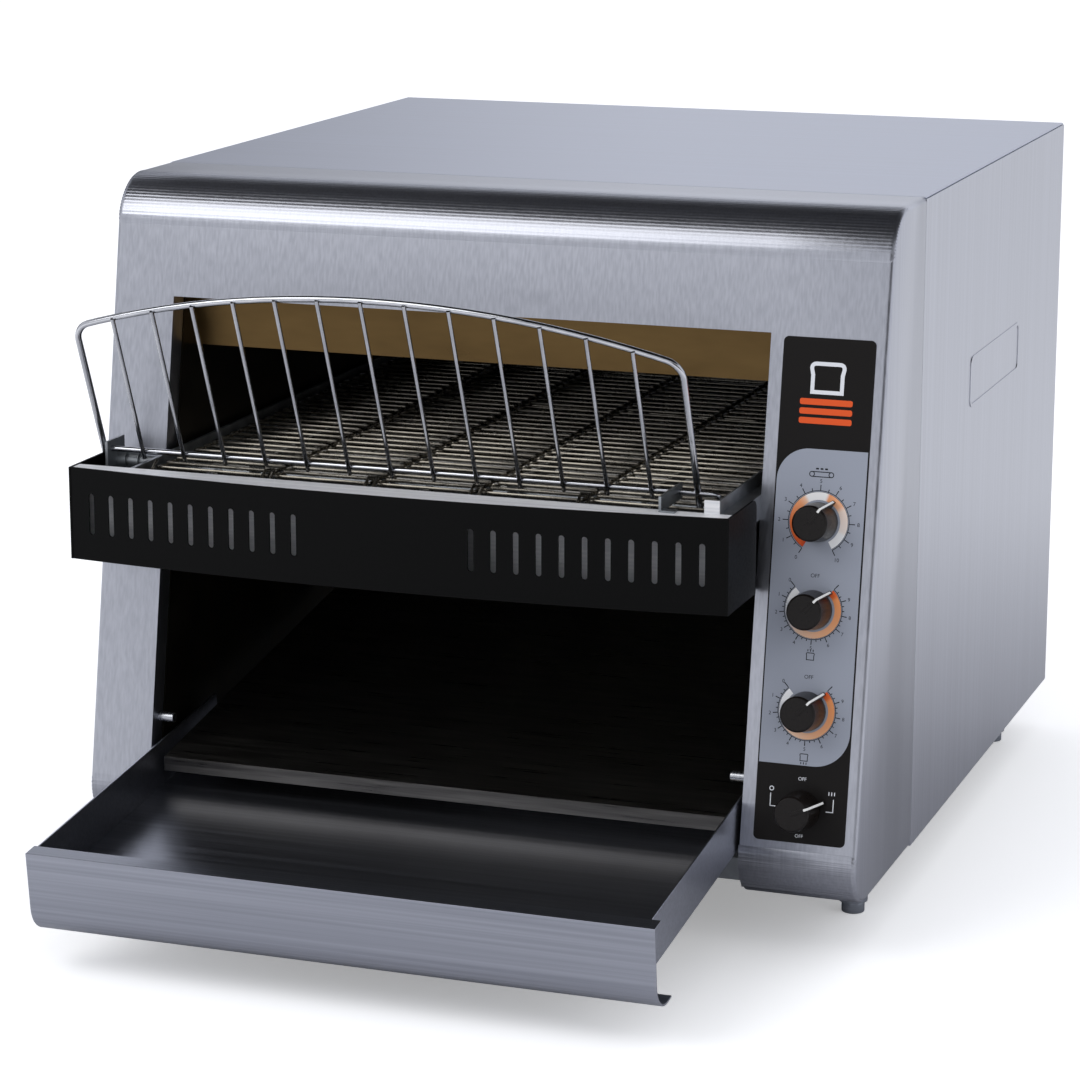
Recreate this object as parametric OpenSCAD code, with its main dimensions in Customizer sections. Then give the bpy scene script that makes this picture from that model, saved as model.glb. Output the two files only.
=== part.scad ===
// Conveyor toaster: bread rides a wire belt through a heated tunnel,
// drops down a curved chute and slides out onto a tray at the front.
// Working frame: X to the right, Y to the back with 0 at the front panel's
// rear seam, Z up with 0 at the counter. place() moves all of it so that the
// origin is at the bottom centre of the whole machine.

/* [Case] */
// Width over the side panels
case_w = 470; // [466:1:480]
// Depth from the front panel's seam to the back panel
case_d = 388; // [382:1:420]
// Height of the top panel above the counter
case_top = 416; // [412:1:430]
// Clear height under the case
leg_h = 33; // [30:1:36]
// Thickness of the sheet metal
sheet = 1.2; // [1:0.1:1.5]
// How far the face's plane stands ahead of the seam, at the top
face_top_y = 67; // [64:1:70]
// Backward lean of the face in degrees
face_lean = 9.8; // [9:0.1:10.5]
// Radius of the roll along the top of the face
top_roll_r = 30; // [26:1:34]
// Radius of the roll along the bottom of the face
bottom_roll_r = 27; // [24:1:30]
// Width of the inward flanges on the panels
flange = 12; // [10:1:14]

/* [Mouth] */
// Width of the front between the case's left side and the mouth
left_leg = 39; // [37:1:41]
// Width of the front between the mouth and the case's right side
right_leg = 67; // [65:1:69]
// Height of the front above the mouth
brow_h = 68; // [64:1:70]
// Depth of the flange folded in round the mouth
return_depth = 14; // [12:1:16]
// How far the heated chamber's header plate stands behind the seam line
header_y = -50; // [-54:1:-46]
// How far the header plate reaches down below the mouth's upper edge
header_drop = 33; // [31:1:35]

/* [Front guard] */
// How far the guard stands out past the mouth's left edge
guard_overhang = 30; // [28:1:32]
// Distance from the seam to the guard's front corners
guard_reach = 160; // [158:1:164]
// Forward bow of the guard's middle
guard_bow = 12; // [8:1:16]
// Height of the guard's upper edge
guard_top = 260; // [259:0.5:262]
// Height of the guard's wall
guard_h = 54; // [52:1:56]
// Distance from the seam to the rear ends of the guard's sides
guard_rear = 107; // [106:0.5:109]
// Width of one slot
slot_w = 3.5; // [3:0.5:5]
// Length of one slot
slot_l = 24; // [16:1:30]
// Distance from slot to slot
slot_pitch = 13; // [11:0.5:13.5]
// Plain stretch between the last slot and the guard's side
slot_end = 14; // [13:1:40]
// Distance from the guard's middle to the nearest slot
slot_start = 53; // [45:1:56]

/* [Conveyor] */
// Distance from strand to strand
belt_pitch = 12.7; // [12.4:0.1:12.8]
// Strands round one full turn of a sprocket
teeth = 8; // [8:1:8]
// Diameter of a belt strand
strand_d = 2.2; // [1.8:0.1:2.6]
// Pitches along the upper run
run_pitches = 33; // [31:1:33]
// Height of the upper run's centre line
belt_z = 256; // [255:0.5:256.5]
// Distance from the seam to the idler shaft
idler_y = 127; // [125:1:129]
// Distance from the mouth's left edge to the belt
belt_in_left = 10; // [9:1:14]
// Distance from the mouth's right edge to the belt
belt_in_right = 20; // [18:1:24]
// Diameter of the idler and drive shafts
shaft_d = 10; // [8:1:12]
// Outer diameter of the shaft bushes
bush_d = 16; // [15:1:18]
// Distance from the mouth's left edge to the left rail's inner face
rail_in_left = 6; // [5:0.5:7]
// Distance from the mouth's right edge to the right rail's inner face
rail_in_right = 8.5; // [7:0.5:10]
// Height of the right rail's raised edge
ridge_z = 267; // [264:0.5:270]
// Thickness of the left rail's plate
rail_t = 2.4; // [2:0.2:3]

/* [Chain drive] */
// Pitch of the drive chain
chain_pitch = 6.35; // [6.35:0.01:6.35]
// Teeth of the sprocket on the drive shaft
driven_teeth = 24; // [20:4:24]
// Teeth of the sprocket on the gear motor
motor_teeth = 12; // [12:4:16]
// Number of chain links
chain_links = 54; // [52:2:54]
// Distance from the mouth's right edge to the chain
chain_out = 14; // [13:0.5:15]

/* [Heaters] */
// Diameter of a quartz tube
tube_d = 10; // [8:0.5:11]
// Number of tubes above the belt
top_tubes = 8; // [5:1:8]
// Distance from tube to tube above the belt
top_tube_pitch = 37; // [35:1:37]
// How far the upper tubes lie below the mouth's upper edge
top_tube_drop = 23; // [20:1:25]
// Number of tubes below the belt
bottom_tubes = 6; // [4:1:6]
// Distance from tube to tube below the belt
bottom_tube_pitch = 55; // [53:1:55]
// Height of the lower tubes
bottom_tube_z = 238; // [237:0.5:239]
// Thickness of the end holders
holder_t = 9; // [7:0.5:9]

/* [Tray] */
// Downward slope of the tray towards the front, in degrees
tray_slope = 6.2; // [5.6:0.1:6.6]
// Distance from the seam to the tray's front lip
tray_reach = 291; // [285:1:296]
// Height of the lip's upper edge
tray_lip_z = 72; // [70:1:74]
// Depth of the tray from its lip to its rear edge
tray_len = 245; // [235:1:250]
// Height of the tray's walls
tray_wall = 27; // [24:1:29]
// Height of the front lip
lip_h = 51; // [48:1:53]
// Radius of the curl along the bottom of the lip
lip_r = 18; // [14:1:20]
// Distance from the mouth's left edge to the tray's left wall
tray_in_left = 6; // [5:0.5:8]
// Distance from the mouth's right edge to the tray's right wall
tray_in_right = 2; // [1.5:0.5:4]
// How far the tray slides in
tray_travel = 138; // [130:1:138]

/* [Toast chute] */
// Slope of the chute in degrees
chute_slope = 9; // [8:0.5:10]
// Radius of the turn behind the belt
chute_r = 95; // [85:1:100]
// Distance from the seam to the chute's front edge
chute_front = 128; // [126:1:129]
// Height of the chute's front edge
chute_lip_z = 81.5; // [80:0.5:83]
// Distance from the seam to the chute's back wall
chute_back = 372; // [368:1:374]

/* [Bread rack] */
// Forward lean of the rack in degrees
rack_lean = 22.5; // [20:0.5:25]
// How far the rack stands out past the mouth's left edge
rack_out_left = 26; // [25:0.5:26]
// Distance from the mouth's right edge to the rack's right side
rack_in_right = 28; // [26:0.5:30]
// Height of the rack at its middle
rack_h = 112; // [100:1:118]
// Radius of the arched top
arch_r = 581; // [540:1:640]
// Distance from the seam to the rack's pivot wire
pivot_y = 122; // [121:0.5:123]
// Height of the rack's pivot wire
pivot_z = 264; // [263.5:0.5:265]
// Diameter of the frame wire
frame_wire = 3.8; // [3.4:0.1:4]
// Diameter of the upright wires
rib_wire = 2.5; // [2:0.1:3]
// Number of upright wires
ribs = 13; // [9:1:15]
// Distance from upright to upright
rib_pitch = 25.8; // [20:0.1:25.8]

/* [Controls] */
// Distance from the case's right side to the line of knobs
knob_in = 33.2; // [32:0.1:34.5]
// Heights of the speed, top heat, bottom heat and power knobs
knob_z = [247, 199, 143.5, 89];
// Diameter of a knob at its base
knob_base_d = 22; // [20:0.5:23]
// Diameter of a knob at its end
knob_end_d = 20; // [17:0.5:20]
// Length of a knob
knob_len = 20.5; // [16:0.5:24]
// Diameter of a knob's spindle
spindle_d = 6; // [5:0.5:6.5]
// Thickness of the control label
label_t = 0.5; // [0.3:0.1:0.8]
// Width of the control label
label_w = 52.5; // [50:0.5:54]
// Height of the label's lower edge
label_low = 70.6; // [69:0.1:72]
// Distance from the case's top to the label's upper edge
label_drop = 69.2; // [66:0.1:76]

/* [Feet] */
// Distance from the case's sides to the feet
foot_in = 26; // [24:1:28]
// Distance from the seam to the front feet, forwards
front_foot_y = 30; // [26:1:36]
// Distance from the seam to the rear feet, backwards
rear_foot_y = 340; // [330:1:350]
// Diameter of a leg socket
socket_d = 17; // [16:0.5:18]
// Diameter of a foot
foot_d = 13.5; // [12:0.5:14]
// Height of a foot below its socket
foot_h = 6.6; // [6:0.1:8]
// Diameter of a foot's stud
stud_d = 8; // [7:0.5:8]

/* [Hidden] */
$fn = 48;

// Clearances
seat_gap = 0.3;      // between two bodies that rest near each other
run_gap = 0.05;      // radial, a shaft in its bush
hole_gap = 0.1;      // radial, a fixed piece in its hole
eps = 1;             // overshoot of a cut past the face it opens

// Case
half_w = case_w / 2;
mouth_left = half_w - left_leg;
mouth_right = half_w - right_leg;
mouth_top = case_top - brow_h;
header_bottom = mouth_top - header_drop;
foot_x = half_w - foot_in;
knob_x = half_w - knob_in;
label_high = case_top - label_drop;
lean_tan = tan(face_lean);
top_roll = [-face_top_y + top_roll_r * (1 - sin(face_lean)) / cos(face_lean), case_top - top_roll_r];
bottom_roll = [-face_top_y + (bottom_roll_r + (leg_h + bottom_roll_r - case_top) * sin(face_lean))
    / cos(face_lean), leg_h + bottom_roll_r];
pan_z = leg_h + sheet;            // underside of the bottom pan
floor_z = pan_z + sheet;          // top of the bottom pan
roof_z = case_top - sheet;        // underside of the top panel
back_y = case_d + sheet;          // outer face of the back panel
seam_gap = 0.4;
pan_front = -bottom_roll[0] - 5;  // the pan ends behind the bottom roll
function face_y(z) = -(face_top_y + (case_top - z) * lean_tan);

// Belt
belt_left = mouth_left - belt_in_left;
belt_right = mouth_right - belt_in_right;
rail_left = mouth_left - rail_in_left;
rail_right = mouth_right - rail_in_right;
pitch_r = belt_pitch / (2 * sin(180 / teeth));
axis_z = belt_z - pitch_r;
low_z = belt_z - 2 * pitch_r;
drive_y = -idler_y + run_pitches * belt_pitch;
band_w = 1.4;
band_x = [for (i = [0:5]) -belt_left + 3 + i * (belt_left + belt_right - 6) / 5];
sprocket_x = [-belt_left + 36, (belt_right - belt_left) / 2, belt_right - 36];
sprocket_t = 4;

// Loading pan and its guard
guard_left = mouth_left + guard_overhang;
guard_right = mouth_right + sheet;
guard_mid = (guard_right - guard_left) / 2;
half_chord = (guard_right + guard_left) / 2;
bow_r = (half_chord * half_chord + guard_bow * guard_bow) / (2 * guard_bow);
bow_centre_y = -guard_reach - guard_bow + bow_r;
guard_low = guard_top - guard_h;
slots = floor((half_chord - slot_start - slot_end) / slot_pitch) + 1;
tray_floor_z = guard_low + sheet;          // underside of the loading pan
rail_low = tray_floor_z + sheet;
rail_top = guard_top - 0.4;
trim_y = guard_reach - 10;
rail_front = -trim_y + sheet;
rail_rear = drive_y + bush_d;

// Chain
chain_x = mouth_right + chain_out;
driven_r = chain_pitch / (2 * sin(180 / driven_teeth));
motor_r = chain_pitch / (2 * sin(180 / motor_teeth));
function wrap(c) = asin((driven_r - motor_r) / c);
function chain_len(c) = 2 * sqrt(c * c - pow(driven_r - motor_r, 2))
    + chain_pitch * ((180 + 2 * wrap(c)) * driven_teeth + (180 - 2 * wrap(c)) * motor_teeth) / 360;
function centre_for(c, n) =
    n == 0 ? c : centre_for(c + (chain_links * chain_pitch - chain_len(c)) / 2, n - 1);
centres = centre_for(110, 4);
motor_z = axis_z - centres;
beta = wrap(centres);
span = sqrt(centres * centres - pow(driven_r - motor_r, 2));
motor_arc = chain_pitch * (180 - 2 * beta) * motor_teeth / 360;
roller_d = 3.3;
plate_h = 5.2;

// Heaters
tube_x0 = -mouth_left - sheet - holder_t + 1;
tube_x1 = mouth_right + sheet + holder_t - 1;
top_tube_z = mouth_top - top_tube_drop;
top_tube_y = [for (i = [0:top_tubes - 1]) header_y + 40 + i * top_tube_pitch];
bottom_tube_y = [for (i = [0:bottom_tubes - 1]) header_y + 10 + i * bottom_tube_pitch];
roof_low = mouth_top - 3;         // underside of the top reflector
blanket_t = 28;
reflector_rear = 300;
bar_top = belt_z - strand_d / 2 - seat_gap;
bar_h = 6.4;
bar_t = 2;
cross_d = 6;

// Tray
tray_left = mouth_left - tray_in_left;
tray_right = mouth_right - tray_in_right;
chamber_left = mouth_left;
tray_floor = -tray_wall;
runner_y0 = 172;                  // the runners start behind the mouth's fold
runner_y1 = tray_len + tray_travel + 17;
pin_d = 6;
pin_z = 101;
pin_y = face_y(pin_z) + 9.4;        // the pins stand just behind the face

// Chute
chute_left = tray_left - 4;
chute_right = tray_right - 4;
chute_mid_y = chute_back - chute_r;
chute_mid_z = chute_lip_z + (chute_r + (chute_mid_y + chute_front) * sin(chute_slope)) / cos(chute_slope);

// Rack
rack_left = mouth_left + rack_out_left;
rack_right = mouth_right - rack_in_right;
rack_mid = (rack_right - rack_left) / 2;
bend_r = 12;
weld_step = 0.04;                   // the arch is this much thinner than the bends that it runs into
arch_c = rack_h - arch_r;
bend_dx = rack_mid + rack_left - bend_r;
bend_w = arch_c + sqrt(pow(arch_r - bend_r, 2) - bend_dx * bend_dx);
arch_end = acos(bend_dx / (arch_r - bend_r));
pivot_d = 3.5;
foot_w = 13;
stop_d = 8;
stop_gap = stop_d / 2 + frame_wire / 2 + seat_gap;
stop_y = -pivot_y + 12 * sin(rack_lean) + stop_gap * cos(rack_lean);
stop_z = pivot_z - 12 * cos(rack_lean) + stop_gap * sin(rack_lean);
left_clip_x = -rack_left + frame_wire / 2 + 1.5;
right_clip_x = rack_right - 12;
hook_x = rail_right - 7.5;          // the pivot wire's end, bent down beside the belt
clip_t = 1.5;

// Controls
neck_d = 9;
heat_turn = 42.5;                   // where the two heat knobs point, clockwise from upright
control_depth = 30;
partition_out = mouth_right + sheet;

// Feet
foot_places = [[-foot_x, -front_foot_y], [foot_x, -front_foot_y],
    [-foot_x, rear_foot_y], [foot_x, rear_foot_y]];
stem_d = 11;

// Rear fittings
fan_d = 50;
fan_x = partition_out + 2 + fan_d / 2;
fan_z = mouth_top - 3;
fan_depth = 25;
impeller_r = 21;
gland_z = 78;
screw_d = 4;
screw_head = 8;
screw_low = 60;
screw_top = case_top - 26;
screw_rows = [for (i = [0:3]) screw_low + i * (screw_top - screw_low) / 3];
screw_x = half_w - flange / 2;
rear_reach = back_y + 4;
y_shift = (tray_reach - rear_reach) / 2;

// ---- helpers ----
module place() translate([0, y_shift, 0]) children();

module box(x0, x1, y0, y1, z0, z1) translate([x0, y0, z0]) cube([x1 - x0, y1 - y0, z1 - z0]);

module rod_x(x0, x1, y, z, d) translate([x0, y, z]) rotate([0, 90, 0]) cylinder(d = d, h = x1 - x0);

module rod_y(y0, y1, x, z, d) translate([x, y0, z]) rotate([-90, 0, 0]) cylinder(d = d, h = y1 - y0);

module rod_z(z0, z1, x, y, d) translate([x, y, z0]) cylinder(d = d, h = z1 - z0);

// An outline drawn in Y and Z, extruded along X
module side_extrude(x0, x1) translate([x0, 0, 0]) rotate([90, 0, 90]) linear_extrude(x1 - x0) children();

// Origin on the face's outer surface, +Z out of it, +Y up along it
module on_face(x, z) translate([x, face_y(z), z]) rotate([90 - face_lean, 0, 0]) children();

function roll_point(c, r, a) = [c[0] + r * cos(a), c[1] + r * sin(a)];

// Side outline of the front panel, moved inwards by inset
module panel_profile(inset, rear) {
    a = 180 - face_lean;
    polygon([[rear, case_top - inset], [top_roll[0], case_top - inset],
        roll_point(top_roll, top_roll_r - inset, a), roll_point(bottom_roll, bottom_roll_r - inset, a),
        [bottom_roll[0], leg_h + inset], [rear, leg_h + inset]]);
    translate(top_roll) circle(r = top_roll_r - inset, $fn = 96);
    translate(bottom_roll) circle(r = bottom_roll_r - inset, $fn = 96);
}

// Outline of an inner wall of the heated chamber
module wall_profile() {
    rear = case_d - 2 * sheet;
    panel_profile(return_depth + sheet, rear);
    translate([-20, floor_z]) square([rear + 20, roof_z - floor_z]);
}

// Disc inside the guard's bowed wall, seen from above
module bow_disc(inset) translate([guard_mid, bow_centre_y]) circle(r = bow_r - inset, $fn = 1440);

module tube_holes(x0, x1, d) {
    for (y = top_tube_y) rod_x(x0, x1, y, top_tube_z, d);
    for (y = bottom_tube_y) rod_x(x0, x1, y, bottom_tube_z, d);
}

// Holes for the controls' necks, through the face and its label
module neck_holes() for (z = knob_z) on_face(knob_x, z)
    translate([0, 0, -10]) cylinder(d = neck_d + 2 * hole_gap, h = 20);

// ---- case ----
module front_panel() {
    fold_rear = header_y - 5;
    color("silver") place() difference() {
        union() {
            difference() {
                side_extrude(-half_w, half_w) panel_profile(0, 0);
                side_extrude(-half_w + sheet, half_w - sheet) panel_profile(sheet, eps);
                box(-mouth_left, mouth_right, -300, eps, 0, mouth_top);
            }
            intersection() {
                difference() {
                    side_extrude(-mouth_left - sheet, mouth_right + sheet) panel_profile(0, 0);
                    side_extrude(-half_w, half_w) panel_profile(return_depth, eps);
                    box(-mouth_left, mouth_right, -300, eps, 0, mouth_top);
                }
                box(-half_w, half_w, -300, fold_rear, floor_z, mouth_top + sheet);
            }
        }
        neck_holes();
        for (x = [-mouth_left - 6, mouth_right - 6]) rod_x(x, x + 12, pin_y, pin_z, pin_d + 2 * hole_gap);
        for (s = [-1, 1]) rod_z(0, floor_z, s * foot_x, -front_foot_y, stem_d + 2 * hole_gap);
    }
}

module top_panel() {
    edge = half_w - 0.6;
    color("slategray") place() {
        box(-edge, edge, seam_gap, case_d, roof_z, case_top);
        lip = half_w - flange - 2;
        box(-lip, lip, case_d - sheet, case_d, roof_z - flange, roof_z + sheet / 2);
    }
}

module side_panel(s) {
    inner = half_w - sheet;
    color("lightsteelblue") place() difference() {
        union() {
            mirror([s < 0 ? 1 : 0, 0, 0]) {
                box(inner, half_w, seam_gap, case_d, leg_h, roof_z);
                box(half_w - flange, half_w, seam_gap, case_d, roof_z - sheet, roof_z);
                box(half_w - flange, half_w, seam_gap, case_d, leg_h, pan_z);
                box(half_w - flange, half_w, case_d - sheet, case_d, leg_h, roof_z);
                box(inner - sheet, inner, -10, 14, leg_h + flange, roof_z - flange);
                box(inner - sheet / 2, inner + sheet / 2, 1, 14, leg_h + flange, roof_z - flange);
            }
        }
        for (z = screw_rows) rod_y(case_d - 5, case_d + 5, s * screw_x, z, screw_d + 2 * hole_gap);
    }
}

// Raised bead that frames a bare field on the right side
module side_bead() {
    y0 = 125;
    y1 = 262;
    z0 = 271.5;
    z1 = 303;
    bead = 2;
    side_extrude(half_w - 0.2, half_w + 0.4) difference() {
        rounded(y0, y1, z0, z1, 6);
        rounded(y0 + bead, y1 - bead, z0 + bead, z1 - bead, 4);
    }
}

module rounded(a0, a1, b0, b1, r) {
    translate([a0 + r, b0]) square([a1 - a0 - 2 * r, b1 - b0]);
    translate([a0, b0 + r]) square([a1 - a0, b1 - b0 - 2 * r]);
    for (a = [a0 + r, a1 - r]) for (b = [b0 + r, b1 - r]) translate([a, b]) circle(r = r);
}

module left_side_panel() side_panel(-1);

module right_side_panel() {
    side_panel(1);
    color("lightsteelblue") place() side_bead();
}

module back_panel() {
    louvre_w = 46;
    louvre_h = 3.5;
    color("silver") place() difference() {
        box(-half_w + 2, half_w - 2, case_d, back_y, leg_h + 2, case_top - 2);
        for (x = [45 - half_w:58:half_w - 135]) for (z = [90:14:160])
            box(x, x + louvre_w, case_d - eps, back_y + eps, z, z + louvre_h);
        rod_y(case_d - eps, back_y + eps, fan_x, fan_z, 2 * impeller_r + 3);
        rod_y(case_d - eps, back_y + eps, fan_x, gland_z, 16 + 2 * hole_gap);
        for (s = [-1, 1]) for (z = screw_rows)
            rod_y(case_d - eps, back_y + eps, s * screw_x, z, screw_d + 2 * hole_gap);
    }
}

module bottom_pan() {
    edge = half_w - sheet;
    color("gray") place() difference() {
        union() {
            box(-edge, edge, -pan_front, case_d - sheet, pan_z, floor_z);
            box(-mouth_left + 2, mouth_right - 2, -pan_front, -pan_front + sheet, pan_z, floor_z + flange);
        }
        for (p = foot_places) rod_z(pan_z - eps, floor_z + eps, p[0], p[1], stem_d + 2 * hole_gap);
    }
}

module case_screws() {
    color("silver") place() for (s = [-1, 1]) for (z = screw_rows) {
        rod_y(case_d - 8, back_y + 0.1, s * screw_x, z, screw_d);
        rod_y(back_y, back_y + 2.4, s * screw_x, z, screw_head);
    }
}

module control_label() {
    mid = (label_low + label_high) / 2;
    len = (label_high - label_low) / cos(face_lean);
    color("dimgray") place() difference() {
        on_face(knob_x, mid) linear_extrude(label_t) rounded(-label_w / 2, label_w / 2, -len / 2, len / 2, 3);
        neck_holes();
    }
}

// ---- feet ----
module leg_sockets() {
    color("silver") place() for (p = foot_places) difference() {
        seat = p[1] < 0 ? leg_h : pan_z;
        union() {
            rod_z(foot_h, seat, p[0], p[1], socket_d);
            rod_z(seat - eps, floor_z + 5, p[0], p[1], stem_d);
        }
        rod_z(0, floor_z + 10, p[0], p[1], stud_d + 2 * run_gap);
    }
}

module foot(i) {
    p = foot_places[i];
    color("gainsboro") place() {
        rod_z(0, foot_h - seat_gap, p[0], p[1], foot_d);
        rod_z(1, floor_z, p[0], p[1], stud_d);
    }
}

module front_left_foot() foot(0);

module front_right_foot() foot(1);

module rear_left_foot() foot(2);

module rear_right_foot() foot(3);

// ---- loading conveyor ----
module front_guard() {
    in_right = guard_right - sheet;
    slot_z = guard_low + guard_h / 2 + 0.5;
    corner = 6;
    color("black") place() difference() {
        union() {
            translate([0, 0, guard_low]) linear_extrude(guard_h) intersection() {
                difference() {
                    bow_disc(0);
                    bow_disc(sheet);
                }
                translate([-guard_left, -300]) square([guard_left + guard_right, 300 - guard_reach + 2]);
            }
            for (x = [-guard_left, in_right]) difference() {
                box(x, x + sheet, -guard_reach - 0.4, -guard_rear, guard_low, guard_top);
                translate([x - eps, -guard_rear - corner, guard_top - corner]) difference() {
                    cube([sheet + 2 * eps, corner + eps, corner + eps]);
                    rotate([0, 90, 0]) cylinder(r = corner, h = sheet + 2 * eps);
                }
            }
        }
        for (s = [-1, 1]) for (i = [0:slots - 1]) {
            x = guard_mid + s * (slot_start + i * slot_pitch);
            box(x - slot_w / 2, x + slot_w / 2, -300, -guard_reach + 6, slot_z - slot_l / 2 + slot_w / 2,
                slot_z + slot_l / 2 - slot_w / 2);
            for (e = [-1, 1]) rod_y(-300, -guard_reach + 6, x, slot_z + e * (slot_l - slot_w) / 2, slot_w);
        }
    }
}

// Area behind the guard's bowed wall, from x0 to x1 and back to y1
module behind_guard(x0, x1, y1) intersection() {
    bow_disc(sheet);
    translate([x0, -300]) square([x1 - x0, 300 + y1]);
}

module loading_pan() {
    left = -guard_left + sheet;
    inside_rear = -60;
    color("darkgray") place() {
        translate([0, 0, tray_floor_z]) linear_extrude(sheet) union() {
            behind_guard(left, mouth_right, -guard_rear);
            translate([-mouth_left, -guard_rear - 1])
                square([mouth_left + mouth_right, guard_rear + 1 + inside_rear]);
        }
        box(left, left + sheet, -guard_reach + 8, -guard_rear, tray_floor_z, rail_top - 14);
    }
}

module loading_trim() {
    left = -guard_left + sheet;
    color("gainsboro") place() {
        translate([0, 0, rail_top - sheet]) linear_extrude(sheet) difference() {
            behind_guard(left, mouth_right, -trim_y + sheet);
            translate([left - 1, -trim_y + sheet]) square([guard_left + guard_right, 100]);
        }
        box(left + sheet, rail_right, -trim_y, -trim_y + sheet, rail_low, rail_top - sheet / 2);
        box(rail_right - 7.5, rail_right + sheet, -trim_y, -trim_y + sheet, rail_top - sheet / 2, ridge_z);
    }
}

module left_rail() {
    outer = -rail_left - rail_t;
    color("darkgray") place() difference() {
        union() {
            box(outer, -rail_left, rail_front, rail_rear, rail_low, rail_top);
            box(-chamber_left, outer + rail_t / 2, rail_front, rail_rear, rail_low, rail_low + sheet);
        }
        for (y = bottom_tube_y) rod_x(outer - eps, -rail_left + eps, y, bottom_tube_z, tube_d + 2);
        for (y = [-idler_y, drive_y]) rod_x(outer - eps, -rail_left + eps, y, axis_z, bush_d + 2 * hole_gap);
    }
}

module right_rail() {
    color("darkgray") place() difference() {
        union() {
            box(rail_right, rail_right + sheet, rail_front, rail_rear, rail_low, ridge_z);
            box(rail_right, mouth_right, rail_front, rail_rear, rail_top - sheet, rail_top);
            box(mouth_right - sheet, mouth_right, rail_front, rail_rear, rail_top - 14, rail_top);
        }
        for (y = bottom_tube_y)
            rod_x(rail_right - eps, rail_right + sheet + eps, y, bottom_tube_z, tube_d + 2);
        for (y = [-idler_y, drive_y])
            rod_x(rail_right - eps, rail_right + sheet + eps, y, axis_z, bush_d + 2 * hole_gap);
    }
}

// ---- bread rack ----
// Origin on the pivot wire, X along it, +Y up the rack, +Z out of its front
module on_rack() translate([0, -pivot_y, pivot_z]) rotate([90 + rack_lean, 0, 0]) children();

module wire_arc(cx, cy, r, a0, a1, d, n) translate([cx, cy, 0]) rotate([0, 0, a0])
    rotate_extrude(angle = a1 - a0, $fn = n) translate([r, 0]) circle(d = d, $fn = 24);

module upright(x, w, out, h, d) translate([x, w, out]) rotate([-90, 0, 0]) cylinder(d = d, h = h, $fn = 24);

function arch_w(x) = arch_c + sqrt(arch_r * arch_r - pow(x - rack_mid, 2));

// One upright of the frame with the bend at its top, seen from the rack's middle
module rack_side() {
    x = rack_right - rack_mid;
    upright(x, -foot_w, 0, foot_w + bend_w, frame_wire);
    wire_arc(x - bend_r, bend_w, bend_r, 0, arch_end, frame_wire, 96);
}

module bread_rack() {
    rib_low = -5;
    color("silver") place() {
        on_rack() {
            for (a = [0, 180]) translate([rack_mid, 0, 0]) rotate([0, a, 0]) rack_side();
            wire_arc(rack_mid, arch_c, arch_r, arch_end, 180 - arch_end, frame_wire - weld_step, 720);
            rod_x(-rack_left, hook_x, 0, 0, pivot_d);
            for (i = [0:ribs - 1]) {
                x = rack_mid + (i - (ribs - 1) / 2) * rib_pitch;
                upright(x, rib_low, rib_wire, arch_w(x) - rib_low, rib_wire);
            }
        }
        hook_end();
    }
}

// End of the pivot wire, bent down beside the belt
module hook_end() translate([hook_x, -pivot_y, pivot_z]) {
    sphere(d = pivot_d, $fn = 24);
    rotate([160, 0, 0]) cylinder(d = pivot_d, h = 9, $fn = 24);
}

module rack_clips() {
    hole = pivot_d + 2 * run_gap;
    nut_w = 11;
    color("silver") place() {
        difference() {
            box(left_clip_x, left_clip_x + clip_t, -pivot_y - 6, stop_y + 6, stop_z - 6, pivot_z + 5);
            rod_x(left_clip_x - eps, left_clip_x + clip_t + eps, -pivot_y, pivot_z, hole);
        }
        rod_x(-rack_left - frame_wire / 2, -rail_left - rail_t, stop_y, stop_z, stop_d);
        rod_x(left_clip_x + clip_t, left_clip_x + clip_t + 5.5, stop_y, stop_z, nut_w);
        rod_x(left_clip_x + clip_t + 8, left_clip_x + clip_t + 13.5, stop_y, stop_z, nut_w);
        difference() {
            union() {
                box(right_clip_x, right_clip_x + clip_t, -trim_y - 6, -pivot_y + 5, rail_top, pivot_z + 4.5);
                box(right_clip_x, right_clip_x + 9, -trim_y - 6, -trim_y, rail_top, rail_top + sheet);
            }
            rod_x(right_clip_x - eps, right_clip_x + clip_t + eps, -pivot_y, pivot_z, hole);
        }
    }
}

// ---- belt and its drive ----
module stadium(r) {
    circle(r = r, $fn = 96);
    translate([run_pitches * belt_pitch, 0]) circle(r = r, $fn = 96);
    translate([0, -r]) square([run_pitches * belt_pitch, 2 * r]);
}

// Closed loop that links the strands together
module link_band(x0, x1) side_extrude(x0, x1) translate([-idler_y, axis_z]) difference() {
    stadium(pitch_r + band_w / 2);
    stadium(pitch_r - band_w / 2);
}

module strand(y, z) rod_x(-belt_left, belt_right, y, z, strand_d, $fn = 16);

module conveyor_belt() {
    step = 360 / teeth;
    color("silver") place() {
        for (i = [0:run_pitches]) {
            strand(-idler_y + i * belt_pitch, belt_z);
            strand(-idler_y + i * belt_pitch, low_z);
        }
        for (k = [1:teeth / 2 - 1]) {
            strand(-idler_y - pitch_r * sin(k * step), axis_z + pitch_r * cos(k * step));
            strand(drive_y + pitch_r * sin(k * step), axis_z + pitch_r * cos(k * step));
        }
        for (x = band_x) link_band(x - band_w / 2, x + band_w / 2);
    }
}

module belt_supports() {
    low = bar_top - bar_h;
    color("darkgray") place() {
        for (i = [0:3]) {
            x = -belt_left + 46 + i * (belt_left + belt_right - 94) / 3;
            box(x, x + bar_t, -100, 268, low, bar_top);
        }
        for (y = [-80, 258]) rod_x(-rail_left, rail_right, y, low - cross_d / 2 + 0.2, cross_d);
    }
}

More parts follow.
